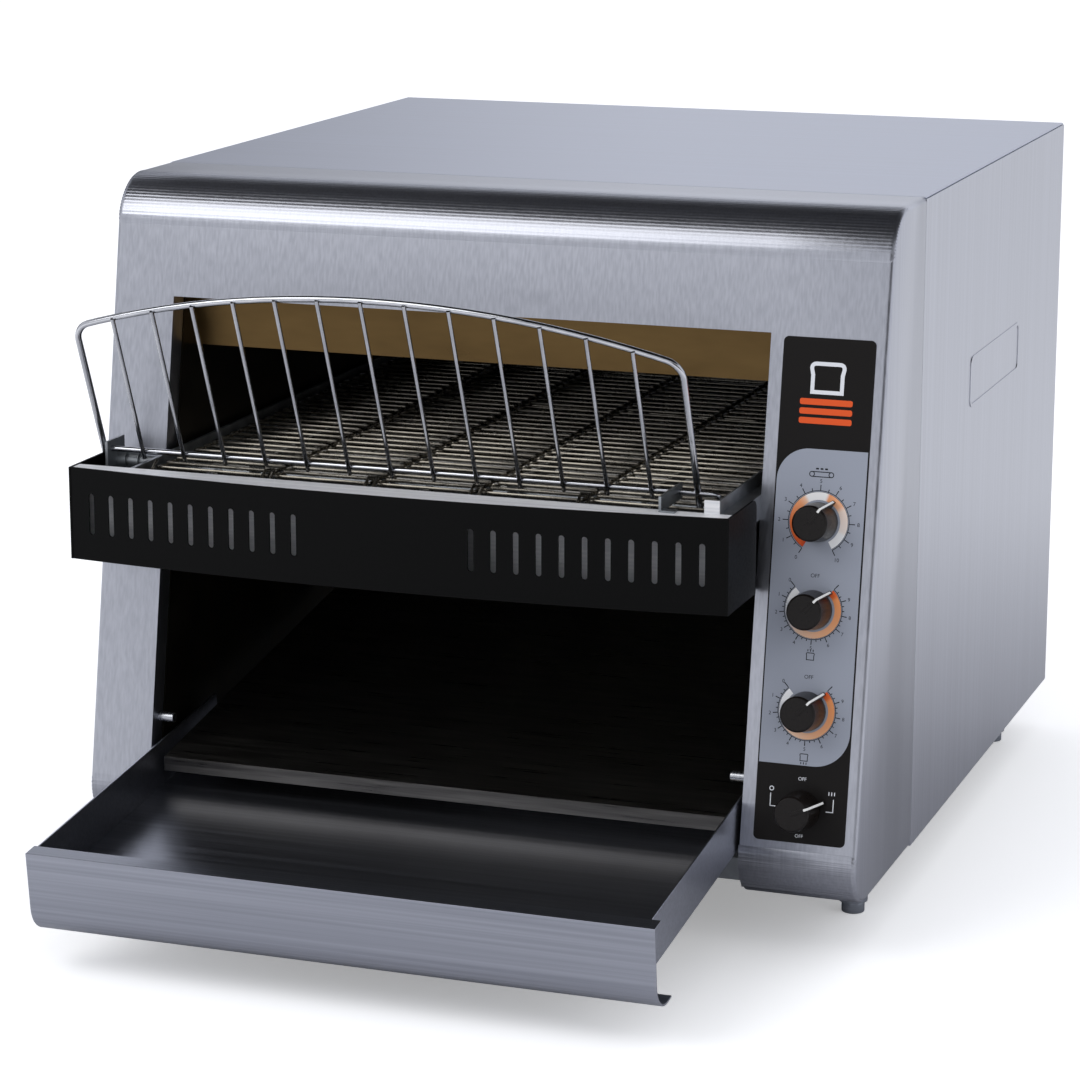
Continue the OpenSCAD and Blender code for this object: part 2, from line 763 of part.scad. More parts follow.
// Toothed wheel for the belt: strands lie in the gaps
module belt_wheel(y) {
    root = pitch_r - strand_d / 2 - seat_gap;
    tip = pitch_r + 1.2;
    side_extrude(-sprocket_t / 2, sprocket_t / 2) translate([y, axis_z]) difference() {
        union() {
            circle(r = root, $fn = 64);
            for (k = [0:teeth - 1]) rotate(90 + (k + 0.5) * 360 / teeth)
                polygon([[root - 2, -3.6], [tip, -1.6], [tip, 1.6], [root - 2, 3.6]]);
        }
        circle(d = shaft_d + 2 * run_gap);
    }
    difference() {
        rod_x(-sprocket_t / 2, sprocket_t / 2 + 7, y, axis_z, 2 * shaft_d);
        rod_x(-sprocket_t, sprocket_t / 2 + 8, y, axis_z, shaft_d + 2 * run_gap);
    }
}

module idler_sprockets() color("gray") place() for (x = sprocket_x) translate([x, 0, 0]) belt_wheel(-idler_y);

module drive_sprockets() color("gray") place() for (x = sprocket_x) translate([x, 0, 0]) belt_wheel(drive_y);

module bush(x0, x1, y) difference() {
    union() {
        rod_x(x0, x1, y, axis_z, bush_d);
        rod_x(x1 - 2, x1, y, axis_z, bush_d + 4);
    }
    rod_x(x0 - eps, x1 + eps, y, axis_z, shaft_d + 2 * run_gap);
}

module idler_bushes() color("darkgoldenrod") place() {
    bush(-rail_left - rail_t - 3, -rail_left + 2, -idler_y);
    bush(rail_right - 3, rail_right + sheet + 2, -idler_y);
}

module drive_bushes() color("darkgoldenrod") place() {
    bush(-rail_left - rail_t - 3, -rail_left + 2, drive_y);
    bush(rail_right - 3, rail_right + sheet + 2, drive_y);
}

module idler_shaft() color("silver") place() {
    rod_x(-rail_left - rail_t - 12, rail_right + 5, -idler_y, axis_z, shaft_d);
    rod_x(-rail_left - rail_t - 9, -rail_left - rail_t - 4, -idler_y, axis_z, shaft_d + 6);
}

module drive_shaft() color("silver") place()
    rod_x(-rail_left - rail_t - 3, chain_x + 8, drive_y, axis_z, shaft_d);

// Toothed wheel for the chain, its first gap at angle phase
module chain_wheel(y, z, r, n, phase, bore, hub) {
    thick = 2.6;
    root = r - roller_d / 2 - 0.1;
    side_extrude(chain_x - thick / 2, chain_x + thick / 2) translate([y, z]) difference() {
        union() {
            circle(r = root, $fn = 64);
            for (k = [0:n - 1]) rotate(phase + (k + 0.5) * 360 / n)
                polygon([[root - 1, -1.35], [r + 0.9, -0.45], [r + 0.9, 0.45], [root - 1, 1.35]]);
        }
        circle(d = bore + 2 * run_gap);
    }
    difference() {
        rod_x(chain_x - thick / 2, chain_x + 6, y, z, hub);
        rod_x(chain_x - thick, chain_x + 8, y, z, bore + 2 * run_gap);
    }
}

// Place of the roller at distance s along the chain, from the driven wheel's front tangent
function roller_at(s) =
    s < span ? let (a = 180 + beta, f = s / span)
        [drive_y + (driven_r + (motor_r - driven_r) * f) * cos(a), axis_z - centres * f
            + (driven_r + (motor_r - driven_r) * f) * sin(a)] :
    s < span + motor_arc ? let (a = 180 + beta + (s - span) / chain_pitch * 360 / motor_teeth)
        [drive_y + motor_r * cos(a), motor_z + motor_r * sin(a)] :
    s < 2 * span + motor_arc ? let (a = -beta, f = (s - span - motor_arc) / span)
        [drive_y + (motor_r + (driven_r - motor_r) * f) * cos(a), motor_z + centres * f
            + (motor_r + (driven_r - motor_r) * f) * sin(a)] :
    let (a = -beta + (s - 2 * span - motor_arc) / chain_pitch * 360 / driven_teeth)
        [drive_y + driven_r * cos(a), axis_z + driven_r * sin(a)];

// Angle of the first roller that lies on a wheel's arc
first_motor = ceil(span / chain_pitch) * chain_pitch;
motor_phase = 180 + beta + (first_motor - span) / chain_pitch * 360 / motor_teeth;
arc_start = 2 * span + motor_arc;
first_driven = ceil(arc_start / chain_pitch) * chain_pitch;
driven_phase = -beta + (first_driven - arc_start) / chain_pitch * 360 / driven_teeth;

// Side plate of one link, from p to q
module link_plate(p, q, x, t) {
    over = 1.6;
    d = q - p;
    translate([x, p[0], p[1]]) rotate([atan2(d[1], d[0]), 0, 0])
        translate([0, -over, -plate_h / 2]) cube([t, norm(d) + 2 * over, plate_h]);
}

// Inner and outer links follow each other
module drive_chain() {
    inner = 1.6;
    plate_t = 0.7;
    outer = inner + plate_t + 0.1;
    edge = outer + plate_t + 0.2;
    color("dimgray") place() for (i = [0:chain_links - 1]) {
        p = roller_at(i * chain_pitch);
        q = roller_at((i + 1) % chain_links * chain_pitch);
        near = i % 2 == 0 ? inner : outer;
        rod_x(chain_x - edge, chain_x + edge, p[0], p[1], roller_d, $fn = 24);
        link_plate(p, q, chain_x - near - plate_t, plate_t);
        link_plate(p, q, chain_x + near, plate_t);
    }
}

module shaft_sprocket() color("gray") place()
    chain_wheel(drive_y, axis_z, driven_r, driven_teeth, driven_phase, shaft_d, 20);

module motor_sprocket() color("gray") place()
    chain_wheel(drive_y, motor_z, motor_r, motor_teeth, motor_phase, 8, 14);

motor_x = chain_x + 10;

module gear_motor() color("darkslategray") place() {
    rod_x(motor_x, half_w - sheet - 3, drive_y, motor_z, 60);
    rod_x(chain_x - 4, motor_x + 1, drive_y, motor_z, 8);
    box(motor_x, motor_x + 22, drive_y - 32, drive_y + 32, motor_z - 42, motor_z - 10);
}

motor_posts = [[-36, 32], [36, 32], [-36, -38], [36, -38]];

module motor_bracket() color("silver") place() {
    difference() {
        box(motor_x - 2, motor_x, drive_y - 42, drive_y + 42, motor_z - 44, motor_z + 38);
        rod_x(motor_x - 3, motor_x + 1, drive_y, motor_z, 20);
    }
    for (p = motor_posts) rod_x(partition_out, motor_x - 1, drive_y + p[0], motor_z + p[1], 7);
}

// ---- heated chamber ----
module left_liner() color("darkgray") place() difference() {
    side_extrude(-chamber_left - sheet, -chamber_left) wall_profile();
    tube_holes(-chamber_left - 3, -chamber_left + 3, tube_d + 2);
}

module control_partition() color("darkgray") place() difference() {
    side_extrude(mouth_right, partition_out) wall_profile();
    tube_holes(mouth_right - 3, mouth_right + 3, tube_d + 2);
    rod_x(mouth_right - 3, mouth_right + 3, drive_y, axis_z, shaft_d + 4);
}

module top_reflector() color("lightgray") place() {
    rear = reflector_rear;
    box(-chamber_left, mouth_right, header_y, rear, roof_low, roof_low + sheet);
    box(-chamber_left, mouth_right, header_y, header_y + sheet, header_bottom, roof_low + sheet / 2);
    box(-chamber_left, mouth_right, rear - sheet, rear, header_bottom, roof_low + sheet / 2);
}

module bottom_reflector() color("lightgray") place()
    box(-rail_left, rail_right, -60, 250, bottom_tube_z - tube_d / 2 - 6.5, bottom_tube_z - tube_d / 2 - 5.5);

module insulation() color("khaki") place()
    box(-chamber_left + seat_gap, mouth_right - seat_gap, header_y + 10, reflector_rear - 4,
        roof_low + sheet, roof_low + sheet + blanket_t);

module heater_row(ys, z) for (y = ys) rod_x(tube_x0, tube_x1, y, z, tube_d);

module top_heaters() color("white") place() heater_row(top_tube_y, top_tube_z);

module bottom_heaters() color("white") place() heater_row(bottom_tube_y, bottom_tube_z);

module holder_pair(ys, z, h) {
    for (x = [-chamber_left - sheet - holder_t, partition_out]) difference() {
        box(x, x + holder_t, ys[0] - 15, ys[len(ys) - 1] + 15, z - h / 2, z + h / 2);
        for (y = ys) rod_x(x - eps, x + holder_t + eps, y, z, tube_d + 2 * run_gap);
    }
}

module top_holders() color("antiquewhite") place() holder_pair(top_tube_y, top_tube_z, 20);

module bottom_holders() color("antiquewhite") place() holder_pair(bottom_tube_y, bottom_tube_z, 20);

// Side outline of the chute, moved down by drop
module chute_area(drop) {
    a = 270 + chute_slope;
    lip = [-chute_front, chute_lip_z - drop / cos(chute_slope)];
    bend = roll_point([chute_mid_y, chute_mid_z], chute_r + drop, a);
    difference() {
        union() {
            polygon([lip, bend, [chute_mid_y, chute_mid_z], [chute_back + drop, chute_mid_z],
                [chute_back + drop, chute_top], [-chute_front, chute_top]]);
            translate([chute_mid_y, chute_mid_z]) circle(r = chute_r + drop, $fn = 144);
        }
        translate([-chute_front - 400, 0]) square([400, 500]);
        translate([-chute_front, chute_top]) square([600, 300]);
    }
}

chute_top = chute_mid_z + 18;

module toast_chute() {
    hem = 8.5;
    color("lightgray") place() {
        difference() {
            side_extrude(-chute_left, chute_right) chute_area(sheet);
            side_extrude(-chute_left - eps, chute_right + eps) difference() {
                chute_area(0);
                translate([-500, chute_top - 0.001]) square([1000, 300]);
            }
            box(-chute_left - eps, chute_right + eps, -500, 600, chute_top - 0.5, chute_top + 50);
        }
        box(-chute_left, chute_right, -chute_front, -chute_front + sheet, chute_lip_z - hem, chute_lip_z);
        for (y = [150, 260]) {
            z = chute_lip_z + (y + chute_front) * tan(chute_slope);
            box(-chamber_left, -chute_left + 3, y, y + 30, z - 1, z + 1.5);
            box(chute_right - 3, mouth_right, y, y + 30, z - 1, z + 1.5);
        }
    }
}

// ---- tray ----
// Origin at the lip's upper edge, +Y up the slope, +Z square to the tray's floor
module on_tray() translate([0, -tray_reach, tray_lip_z]) rotate([tray_slope, 0, 0]) children();

module lip_profile() {
    straight = lip_h - lip_r;
    translate([0, -straight]) square([sheet, straight]);
    translate([lip_r, -straight]) difference() {
        circle(r = lip_r, $fn = 72);
        circle(r = lip_r - sheet, $fn = 72);
        translate([-lip_r - 1, 0]) square([2 * lip_r + 2, lip_r + 2]);
        translate([0, -lip_r - 1]) square([lip_r + 2, lip_r + 2]);
    }
    translate([lip_r, -lip_h]) square([7, sheet]);
    translate([0, -sheet]) square([11, sheet]);
}

module product_tray() {
    side_over_left = 2;
    side_over_right = 5;
    color("lightslategray") place() on_tray() {
        side_extrude(-tray_left - side_over_left, tray_right + side_over_right) lip_profile();
        box(-tray_left, tray_right, sheet / 2, tray_len, tray_floor - sheet, tray_floor);
        for (x = [-tray_left, tray_right - sheet])
            box(x, x + sheet, sheet / 2, tray_len, tray_floor - sheet / 2, 0);
    }
}

module tray_runners() {
    top = tray_floor - sheet - seat_gap;
    color("gray") place() on_tray() {
        box(-chamber_left, -tray_left + 6, runner_y0, runner_y1, top - sheet, top);
        box(-chamber_left, -chamber_left + sheet, runner_y0, runner_y1, top - 10, top - sheet / 2);
        box(tray_right - 8, mouth_right, runner_y0, runner_y1, top - sheet, top);
        box(mouth_right - sheet, mouth_right, runner_y0, runner_y1, top - 10, top - sheet / 2);
    }
}

module hold_down_pins() {
    stub = 10;
    head = 3;
    color("silver") place() {
        rod_x(-mouth_left - sheet, -mouth_left + stub, pin_y, pin_z, pin_d);
        rod_x(-mouth_left - sheet - head, -mouth_left - sheet, pin_y, pin_z, pin_d + 3);
        rod_x(mouth_right - stub, mouth_right + sheet, pin_y, pin_z, pin_d);
        rod_x(mouth_right + sheet, mouth_right + sheet + head, pin_y, pin_z, pin_d + 3);
    }
}

// ---- controls ----
module control_body(z, w, h, depth) on_face(knob_x, z) difference() {
    union() {
        translate([-w / 2, -h / 2, -sheet - depth]) cube([w, h, depth]);
        translate([0, 0, -sheet - 1]) cylinder(d = neck_d, h = sheet + 1 + label_t);
    }
    translate([0, 0, -sheet - depth + 8]) cylinder(d = spindle_d + 2 * run_gap, h = depth + 10);
}

module speed_control() color("darkgreen") place() control_body(knob_z[0], 26, 26, 16);

module top_heat_control() color("saddlebrown") place() control_body(knob_z[1], 34, 40, control_depth);

module bottom_heat_control() color("saddlebrown") place() control_body(knob_z[2], 34, 40, control_depth);

module power_switch() color("darkred") place() control_body(knob_z[3], 38, 34, control_depth);

// Knob with its spindle; turn is the pointer's angle from straight up, clockwise
module knob(z, turn, depth) on_face(knob_x, z) {
    base = label_t + seat_gap;
    pointer = 2;
    proud = 0.3;
    rotate_extrude($fn = 64) polygon([[0, base], [knob_base_d / 2, base], [knob_base_d / 2, base + 3],
        [knob_end_d / 2, base + knob_len - 1], [knob_end_d / 2 - 1, base + knob_len], [0, base + knob_len]]);
    rotate([0, 0, -turn]) translate([-pointer / 2, 0, base]) rotate([90, 0, 90]) linear_extrude(pointer)
        polygon([[0, proud], [knob_base_d / 2 + 3.7, proud], [knob_base_d / 2 + 3.7, 1.5],
            [knob_end_d / 2 + 0.4, knob_len + proud], [0, knob_len + proud]]);
    translate([0, 0, -sheet - depth + 8.5]) cylinder(d = spindle_d, h = sheet + depth);
}

module speed_knob() color("black") place() knob(knob_z[0], 35, 16);

module top_heat_knob() color("black") place() knob(knob_z[1], heat_turn, control_depth);

module bottom_heat_knob() color("black") place() knob(knob_z[2], heat_turn, control_depth);

module power_knob() color("black") place() knob(knob_z[3], 67, control_depth);

module terminal_block() color("ivory") place() {
    box(partition_out + 6, partition_out + 50, 300, 324, floor_z, floor_z + 14);
    for (i = [0:3]) rod_z(floor_z + 13, floor_z + 17, partition_out + 12 + i * 11, 312, 6);
}

// ---- rear fittings ----
module fan_frame() color("dimgray") place() {
    hub_pin = 3;
    difference() {
        box(fan_x - fan_d / 2, fan_x + fan_d / 2, case_d - fan_depth, case_d,
            fan_z - fan_d / 2, fan_z + fan_d / 2);
        rod_y(case_d - fan_depth - eps, case_d + eps, fan_x, fan_z, 2 * impeller_r + 3);
    }
    for (a = [0:90:270]) translate([fan_x, case_d - fan_depth, fan_z]) rotate([0, a, 0])
        box(0, impeller_r + 2, 0, 2.5, -1.5, 1.5);
    rod_y(case_d - fan_depth, case_d - fan_depth + 3, fan_x, fan_z, 18);
    rod_y(case_d - fan_depth + 2, case_d - 3, fan_x, fan_z, hub_pin);
}

module fan_impeller() color("darkslategray") place()
    translate([fan_x, case_d - fan_depth + 3 + seat_gap, fan_z]) {
    depth = 17;
    difference() {
        union() {
            rod_y(0, depth, 0, 0, 18);
            for (k = [0:6]) rotate([0, k * 360 / 7, 0]) translate([8, depth / 2, 0]) rotate([35, 0, 0])
                box(0, impeller_r - 8, -8, 8, -0.7, 0.7);
        }
        rod_y(-eps, depth + eps, 0, 0, 3 + 2 * run_gap);
    }
}

module fan_grille() color("silver") place() {
    wire = 1.6;
    for (r = [8:6:26]) difference() {
        rod_y(back_y, back_y + 2, fan_x, fan_z, 2 * r);
        rod_y(back_y - eps, back_y + 3, fan_x, fan_z, 2 * (r - wire));
    }
    for (a = [45, 135]) translate([fan_x, back_y, fan_z]) rotate([0, a, 0])
        box(-26, 26, 0.4, 2, -wire / 2, wire / 2);
}

module inlet_gland() color("black") place() difference() {
    union() {
        rod_y(case_d - 3, back_y + 1, fan_x, gland_z, 16);
        rod_y(back_y, back_y + 4, fan_x, gland_z, 24);
        rod_y(case_d - 7, case_d, fan_x, gland_z, 22);
    }
    rod_y(case_d - 10, back_y + 10, fan_x, gland_z, 9);
}

front_panel();
top_panel();
left_side_panel();
right_side_panel();
back_panel();
bottom_pan();
case_screws();
control_label();
leg_sockets();
front_left_foot();
front_right_foot();
rear_left_foot();
rear_right_foot();
front_guard();
loading_pan();
loading_trim();
left_rail();
right_rail();
bread_rack();
rack_clips();
conveyor_belt();
belt_supports();
idler_shaft();
idler_sprockets();
idler_bushes();
drive_shaft();
drive_sprockets();
drive_bushes();
drive_chain();
shaft_sprocket();
motor_sprocket();
gear_motor();
motor_bracket();
top_reflector();
bottom_reflector();
insulation();
top_heaters();
bottom_heaters();
top_holders();
bottom_holders();
left_liner();
control_partition();
toast_chute();
tray_runners();
hold_down_pins();
product_tray();
speed_control();
top_heat_control();
bottom_heat_control();
power_switch();
speed_knob();
top_heat_knob();
bottom_heat_knob();
power_knob();
terminal_block();
fan_frame();
fan_impeller();
fan_grille();
inlet_gland();
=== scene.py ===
# Conveyor toaster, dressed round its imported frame.
# Sections follow the order in which the machine goes together. Lengths are metres; MM is a millimetre.
import math

import bmesh
import bpy
from mathutils import Euler, Matrix, Vector


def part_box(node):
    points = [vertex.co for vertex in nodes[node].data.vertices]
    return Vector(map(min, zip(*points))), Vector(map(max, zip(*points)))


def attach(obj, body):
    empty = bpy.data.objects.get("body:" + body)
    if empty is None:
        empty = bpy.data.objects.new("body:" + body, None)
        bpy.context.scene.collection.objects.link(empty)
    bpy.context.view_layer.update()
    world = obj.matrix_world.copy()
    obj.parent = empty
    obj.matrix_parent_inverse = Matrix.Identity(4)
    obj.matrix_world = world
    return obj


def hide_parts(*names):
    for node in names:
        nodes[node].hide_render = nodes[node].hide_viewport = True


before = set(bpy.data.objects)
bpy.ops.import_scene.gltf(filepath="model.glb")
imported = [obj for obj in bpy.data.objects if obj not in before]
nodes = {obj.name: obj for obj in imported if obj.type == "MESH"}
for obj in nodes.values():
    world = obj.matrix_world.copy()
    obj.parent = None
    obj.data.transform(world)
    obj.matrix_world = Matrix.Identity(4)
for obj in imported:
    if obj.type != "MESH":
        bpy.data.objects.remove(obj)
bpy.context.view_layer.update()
scene = bpy.context.scene

# ---- camera ----
# A long lens a little to the right of the machine and above it, looking down onto its face. Its focal
# length is in parts of a frame 1080 wide, its two turns are in degrees.
# MM and SEAM come first here: SEAM is where the line between front and side panels lies along Y.
MM = 0.001
SEAM = -51.1 * MM
focal, frame_width = 3485.3, 1080
look_down, look_round = 13.374, 19.701
eye = bpy.data.cameras.new("camera")
eye.sensor_width = 36.0
eye.lens = focal / frame_width * eye.sensor_width
eye.clip_end = 20.0
camera = bpy.data.objects.new("camera", eye)
camera.location = (688.0 * MM, SEAM - 1910.2 * MM, 681.8 * MM)
camera.rotation_euler = Euler((math.radians(90 - look_down), 0.0, math.radians(look_round)), "XYZ")
scene.collection.objects.link(camera)
scene.camera = camera


# ---- bottom pan, leg sockets and feet ----
# The pan is galvanised sheet. Four aluminium sockets are screwed under it and hold turned feet on studs.
# The helpers below make materials and round the cut edges of pressed and turned parts.
def tone(code):
    """A hex sRGB colour as linear red, green, blue and alpha."""
    parts = [int(code[i:i + 2], 16) / 255 for i in (1, 3, 5)]
    return [p / 12.92 if p <= 0.04045 else ((p + 0.055) / 1.055) ** 2.4 for p in parts] + [1.0]


def add(tree, kind, inputs, **settings):
    """One shader node with its settings; an input is a plain value or another node's output."""
    node = tree.nodes.new("ShaderNode" + kind)
    for key, value in settings.items():
        setattr(node, key, value)
    for key, value in inputs.items():
        if isinstance(value, bpy.types.NodeSocket):
            tree.links.new(value, node.inputs[key])
        else:
            node.inputs[key].default_value = value
    return node.outputs


def finish(name, constants):
    """A material of one Principled shader, with the inputs that are the same all over set on it."""
    material = bpy.data.materials.new(name)
    material.use_nodes = True
    shader = material.node_tree.nodes["Principled BSDF"]
    for key, value in constants.items():
        shader.inputs[key].default_value = value
    return material, material.node_tree, shader


def grain(tree, scale, detail=3.0):
    """Noise on the object's own coordinates; scale is how many waves a metre holds along X, Y and Z."""
    place = add(tree, "TexCoord", {})["Object"]
    spread = add(tree, "Mapping", {"Vector": place, "Scale": scale})["Vector"]
    return add(tree, "TexNoise", {"Vector": spread, "Scale": 1.0, "Detail": detail, "Roughness": 0.6})["Fac"]


def between(tree, factor, low, high, start=0.3, end=0.7):
    """The factor stretched from start..end to low..high."""
    span = {"Value": factor, "From Min": start, "From Max": end, "To Min": low, "To Max": high}
    return add(tree, "MapRange", span)["Result"]


def blend_tones(tree, factor, dark, light):
    """A colour between two hex tones."""
    mix = {0: factor, 6: tone(dark), 7: tone(light)}
    return add(tree, "Mix", mix, data_type="RGBA")[2]


def surface(name, dark, light, scale, rough, bump, constants, detail=3.0):
    """A material whose colour, roughness and relief all follow one grain: rough is its two limits."""
    material, tree, shader = finish(name, constants)
    pattern = grain(tree, scale, detail)
    colour = blend_tones(tree, between(tree, pattern, 0.0, 1.0), dark, light)
    tree.links.new(colour, shader.inputs["Base Color"])
    tree.links.new(between(tree, pattern, *rough), shader.inputs["Roughness"])
    relief = {"Height": pattern, "Strength": 0.4, "Distance": bump}
    tree.links.new(add(tree, "Bump", relief)["Normal"], shader.inputs["Normal"])
    return material


def dress(material, *names):
    """Give CAD nodes their material."""
    for name in names:
        nodes[name].data.materials.clear()
        nodes[name].data.materials.append(material)


def deselect():
    """Leave edit mode with nothing selected."""
    if bpy.context.object and bpy.context.object.mode == "EDIT":
        bpy.ops.object.mode_set(mode="OBJECT")
    bpy.ops.object.select_all(action="DESELECT")


def only(piece):
    """Leave edit mode with one piece selected and active."""
    deselect()
    bpy.context.view_layer.objects.active = piece
    piece.select_set(True)


def smooth(piece, limit):
    """Shade a piece smoothly wherever its faces meet at less than the limit in degrees."""
    only(piece)
    bpy.ops.object.shade_smooth_by_angle(angle=math.radians(limit))


def round_edges(piece, radius, limit, flatten=True):
    """Bevel every edge that turns more than the limit, for good, and keep large flats flat in shading."""
    only(piece)
    bevel = piece.modifiers.new("edges", "BEVEL")
    bevel.width = radius
    bevel.segments = 2
    bevel.limit_method = "ANGLE"
    bevel.angle_limit = math.radians(limit)
    bpy.ops.object.modifier_apply(modifier="edges")
    smooth(piece, limit)
    if flatten:
        flat = piece.modifiers.new("flat", "WEIGHTED_NORMAL")
        flat.keep_sharp = True
        bpy.ops.object.modifier_apply(modifier="flat")


def eased(node, radius, limit=35):
    """A copy of a CAD part with its cut edges rounded: merged, flat triangles joined, then bevelled."""
    piece = bpy.data.objects.new(node + "_eased", nodes[node].data.copy())
    scene.collection.objects.link(piece)
    only(piece)
    bpy.ops.mesh.customdata_custom_splitnormals_clear()
    bpy.ops.object.mode_set(mode="EDIT")
    bpy.ops.mesh.select_all(action="SELECT")
    bpy.ops.mesh.remove_doubles(threshold=0.002 * MM)
    bpy.ops.mesh.dissolve_limited(angle_limit=math.radians(0.5))
    round_edges(piece, radius, limit)
    return piece


def settle(piece, body, slot, material, *replaced):
    """Give a finished piece its material, the body that carries it and the nodes that it stands for."""
    piece.data.materials.clear()
    piece.data.materials.append(material)
    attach(piece, body)
    if replaced:
        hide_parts(*replaced)


# Hot-dip galvanised sheet: dull zinc with soft crystal patches about 12 mm across
zinc_sheet = surface("galvanised_sheet", "#8b8f93", "#a7abae", (85, 85, 85), (0.38, 0.52), 0.05 * MM,
                     {"Metallic": 1.0}, 1.0)
# Turned aluminium, satin: fine rings of the tool across its height, shown 0.6 mm apart
turned_aluminium = surface("turned_aluminium", "#9ba1aa", "#b9bec6", (60, 60, 1600), (0.28, 0.4), 0.02 * MM,
                           {"Metallic": 1.0})
dress(zinc_sheet, "bottom_pan")
settle(eased("leg_sockets", 0.5 * MM), "machine", "cast_aluminium", turned_aluminium, "leg_sockets")
for corner in ("front_left", "front_right", "rear_left", "rear_right"):
    body = "foot_" + "".join(word[0] for word in corner.split("_"))
    foot = eased(corner + "_foot", 0.7 * MM)
    settle(foot, body, "cast_aluminium", turned_aluminium, corner + "_foot")

# ---- heated chamber: liner, partition, reflectors and blanket ----
# Aluminised sheet walls stand on the pan, and polished reflectors hang between them under a wool blanket.
# The sheets are folded and spot-welded, and have seen years of heat.
# Aluminised sheet baked by the tubes: dark brown-grey and dull, in patches about 30 mm across
heat_sheet = surface("aluminised_sheet_heat_tinted", "#37322a", "#4d473c", (30, 30, 30), (0.36, 0.5),
                     0.03 * MM, {"Metallic": 1.0})
# The upper reflector, whose front edge is the header of the tunnel: polished, with a straw-brown heat tint
header_sheet = surface("reflector_straw_brown", "#56442a", "#6b5636", (12, 40, 40), (0.26, 0.36),
                       0.02 * MM, {"Metallic": 1.0})
# Mineral wool: matt yellow-grey fibres in clumps about 4 mm across
wool = surface("mineral_wool_blanket", "#8f8566", "#b9ae8b", (260, 260, 260), (0.9, 1.0), 0.6 * MM, {})
dress(heat_sheet, "left_liner", "control_partition", "bottom_reflector")
dress(header_sheet, "top_reflector")
dress(wool, "insulation")

# ---- heaters and their holders ----
# Quartz tubes with a coil inside lie across the chamber, above and below the belt.
# Each end is held in a ceramic block that sits in the chamber wall.
# Frosted quartz: milky glass that passes some light, faintly uneven along its length
quartz = surface("frosted_quartz_tube", "#c9c5bd", "#e2ded6", (40, 300, 300), (0.18, 0.3), 0.01 * MM,
                 {"Transmission Weight": 0.35, "IOR": 1.46})
# Steatite ceramic: unglazed cream-white with a fine gritty skin
ceramic = surface("steatite_ceramic", "#c4bcab", "#d8d1c2", (900, 900, 900), (0.6, 0.75), 0.03 * MM, {})
dress(quartz, "top_heaters", "bottom_heaters")
for node in ("top_holders", "bottom_holders"):
    settle(eased(node, 0.4 * MM), "machine", "ceramic", ceramic, node)

# ---- shafts, wheels, chain and motor ----
# Ground steel shafts run in sintered bronze bushes; hobbed wheels and a roller chain tie them together.
# The gear motor hangs on a plated bracket behind the controls.
# Ground bar: bright grey, with fine rings round it shown 0.8 mm apart
ground_steel = surface("ground_steel", "#83868a", "#9c9fa4", (1200, 60, 60), (0.22, 0.34), 0.01 * MM,
                       {"Metallic": 1.0})
# Oiled chain steel: darker, with a thin greasy film that evens out its roughness
oiled_steel = surface("oiled_chain_steel", "#4a4b4d", "#68696b", (400, 400, 400), (0.3, 0.42), 0.02 * MM,
                      {"Metallic": 1.0})
# Sintered bronze: warm brown metal with pores finer than a millimetre
bronze = surface("sintered_bronze", "#7c5f36", "#9a7a4a", (1500, 1500, 1500), (0.38, 0.5), 0.02 * MM,
                 {"Metallic": 1.0})
# Stoved enamel on the motor: smooth grey-green paint with a faint orange peel of about 2 mm
motor_enamel = surface("stoved_motor_enamel", "#4d5450", "#59605c", (500, 500, 500), (0.35, 0.45),
                       0.03 * MM, {"Coat Weight": 0.3})
dress(ground_steel, "idler_shaft", "drive_shaft", "idler_sprockets", "drive_sprockets")
dress(bronze, "idler_bushes", "drive_bushes")
dress(oiled_steel, "drive_chain", "shaft_sprocket", "motor_sprocket")
settle(eased("gear_motor", 0.8 * MM), "machine", "motor_enamel", motor_enamel, "gear_motor")
settle(eased("motor_bracket", 0.3 * MM), "machine", "galvanised", zinc_sheet, "motor_bracket")

# ---- conveyor rails, belt supports and belt ----
# Galvanised side rails carry both shafts; bars under the top run hold the belt up.
# The belt is stainless wire: rungs across, each with small loops that hook round the rung behind it.
# Points closer together than NEAR count as one.
NEAR = 0.01 * MM


def begin(primitive, name, **settings):
    """A fresh primitive with its place put into its mesh, open in edit mode."""
    deselect()
    primitive(**settings)
    bpy.ops.object.transform_apply(location=True, rotation=True, scale=True)
    bpy.context.object.name = name
    bpy.ops.object.mode_set(mode="EDIT")
    bpy.ops.mesh.select_mode(type="VERT")
    bpy.ops.mesh.select_all(action="SELECT")
    return bpy.context.object


def pick(kind, test):
    """Select the verts, edges or faces that pass a test."""
    mode = {"verts": "VERT", "edges": "EDGE", "faces": "FACE"}[kind]
    bpy.ops.mesh.select_mode(type=mode)
    bpy.ops.mesh.select_all(action="DESELECT")
    mesh = bpy.context.object.data
    shape = bmesh.from_edit_mesh(mesh)
    for part in getattr(shape, kind):
        if test(part):
            part.select_set(True)
    bmesh.update_edit_mesh(mesh)


def middle(part):
    """The middle of an edge or a face."""
    return sum((v.co for v in part.verts), Vector()) / len(part.verts)


def shift(x, y, z):
    """Move what is selected."""
    bpy.ops.transform.translate(value=(x, y, z), orient_type="GLOBAL")


def draw_out(x, y, z):
    """Extrude what is selected and move it."""
    bpy.ops.mesh.extrude_region_move(TRANSFORM_OT_translate={"value": (x, y, z), "orient_type": "GLOBAL"})


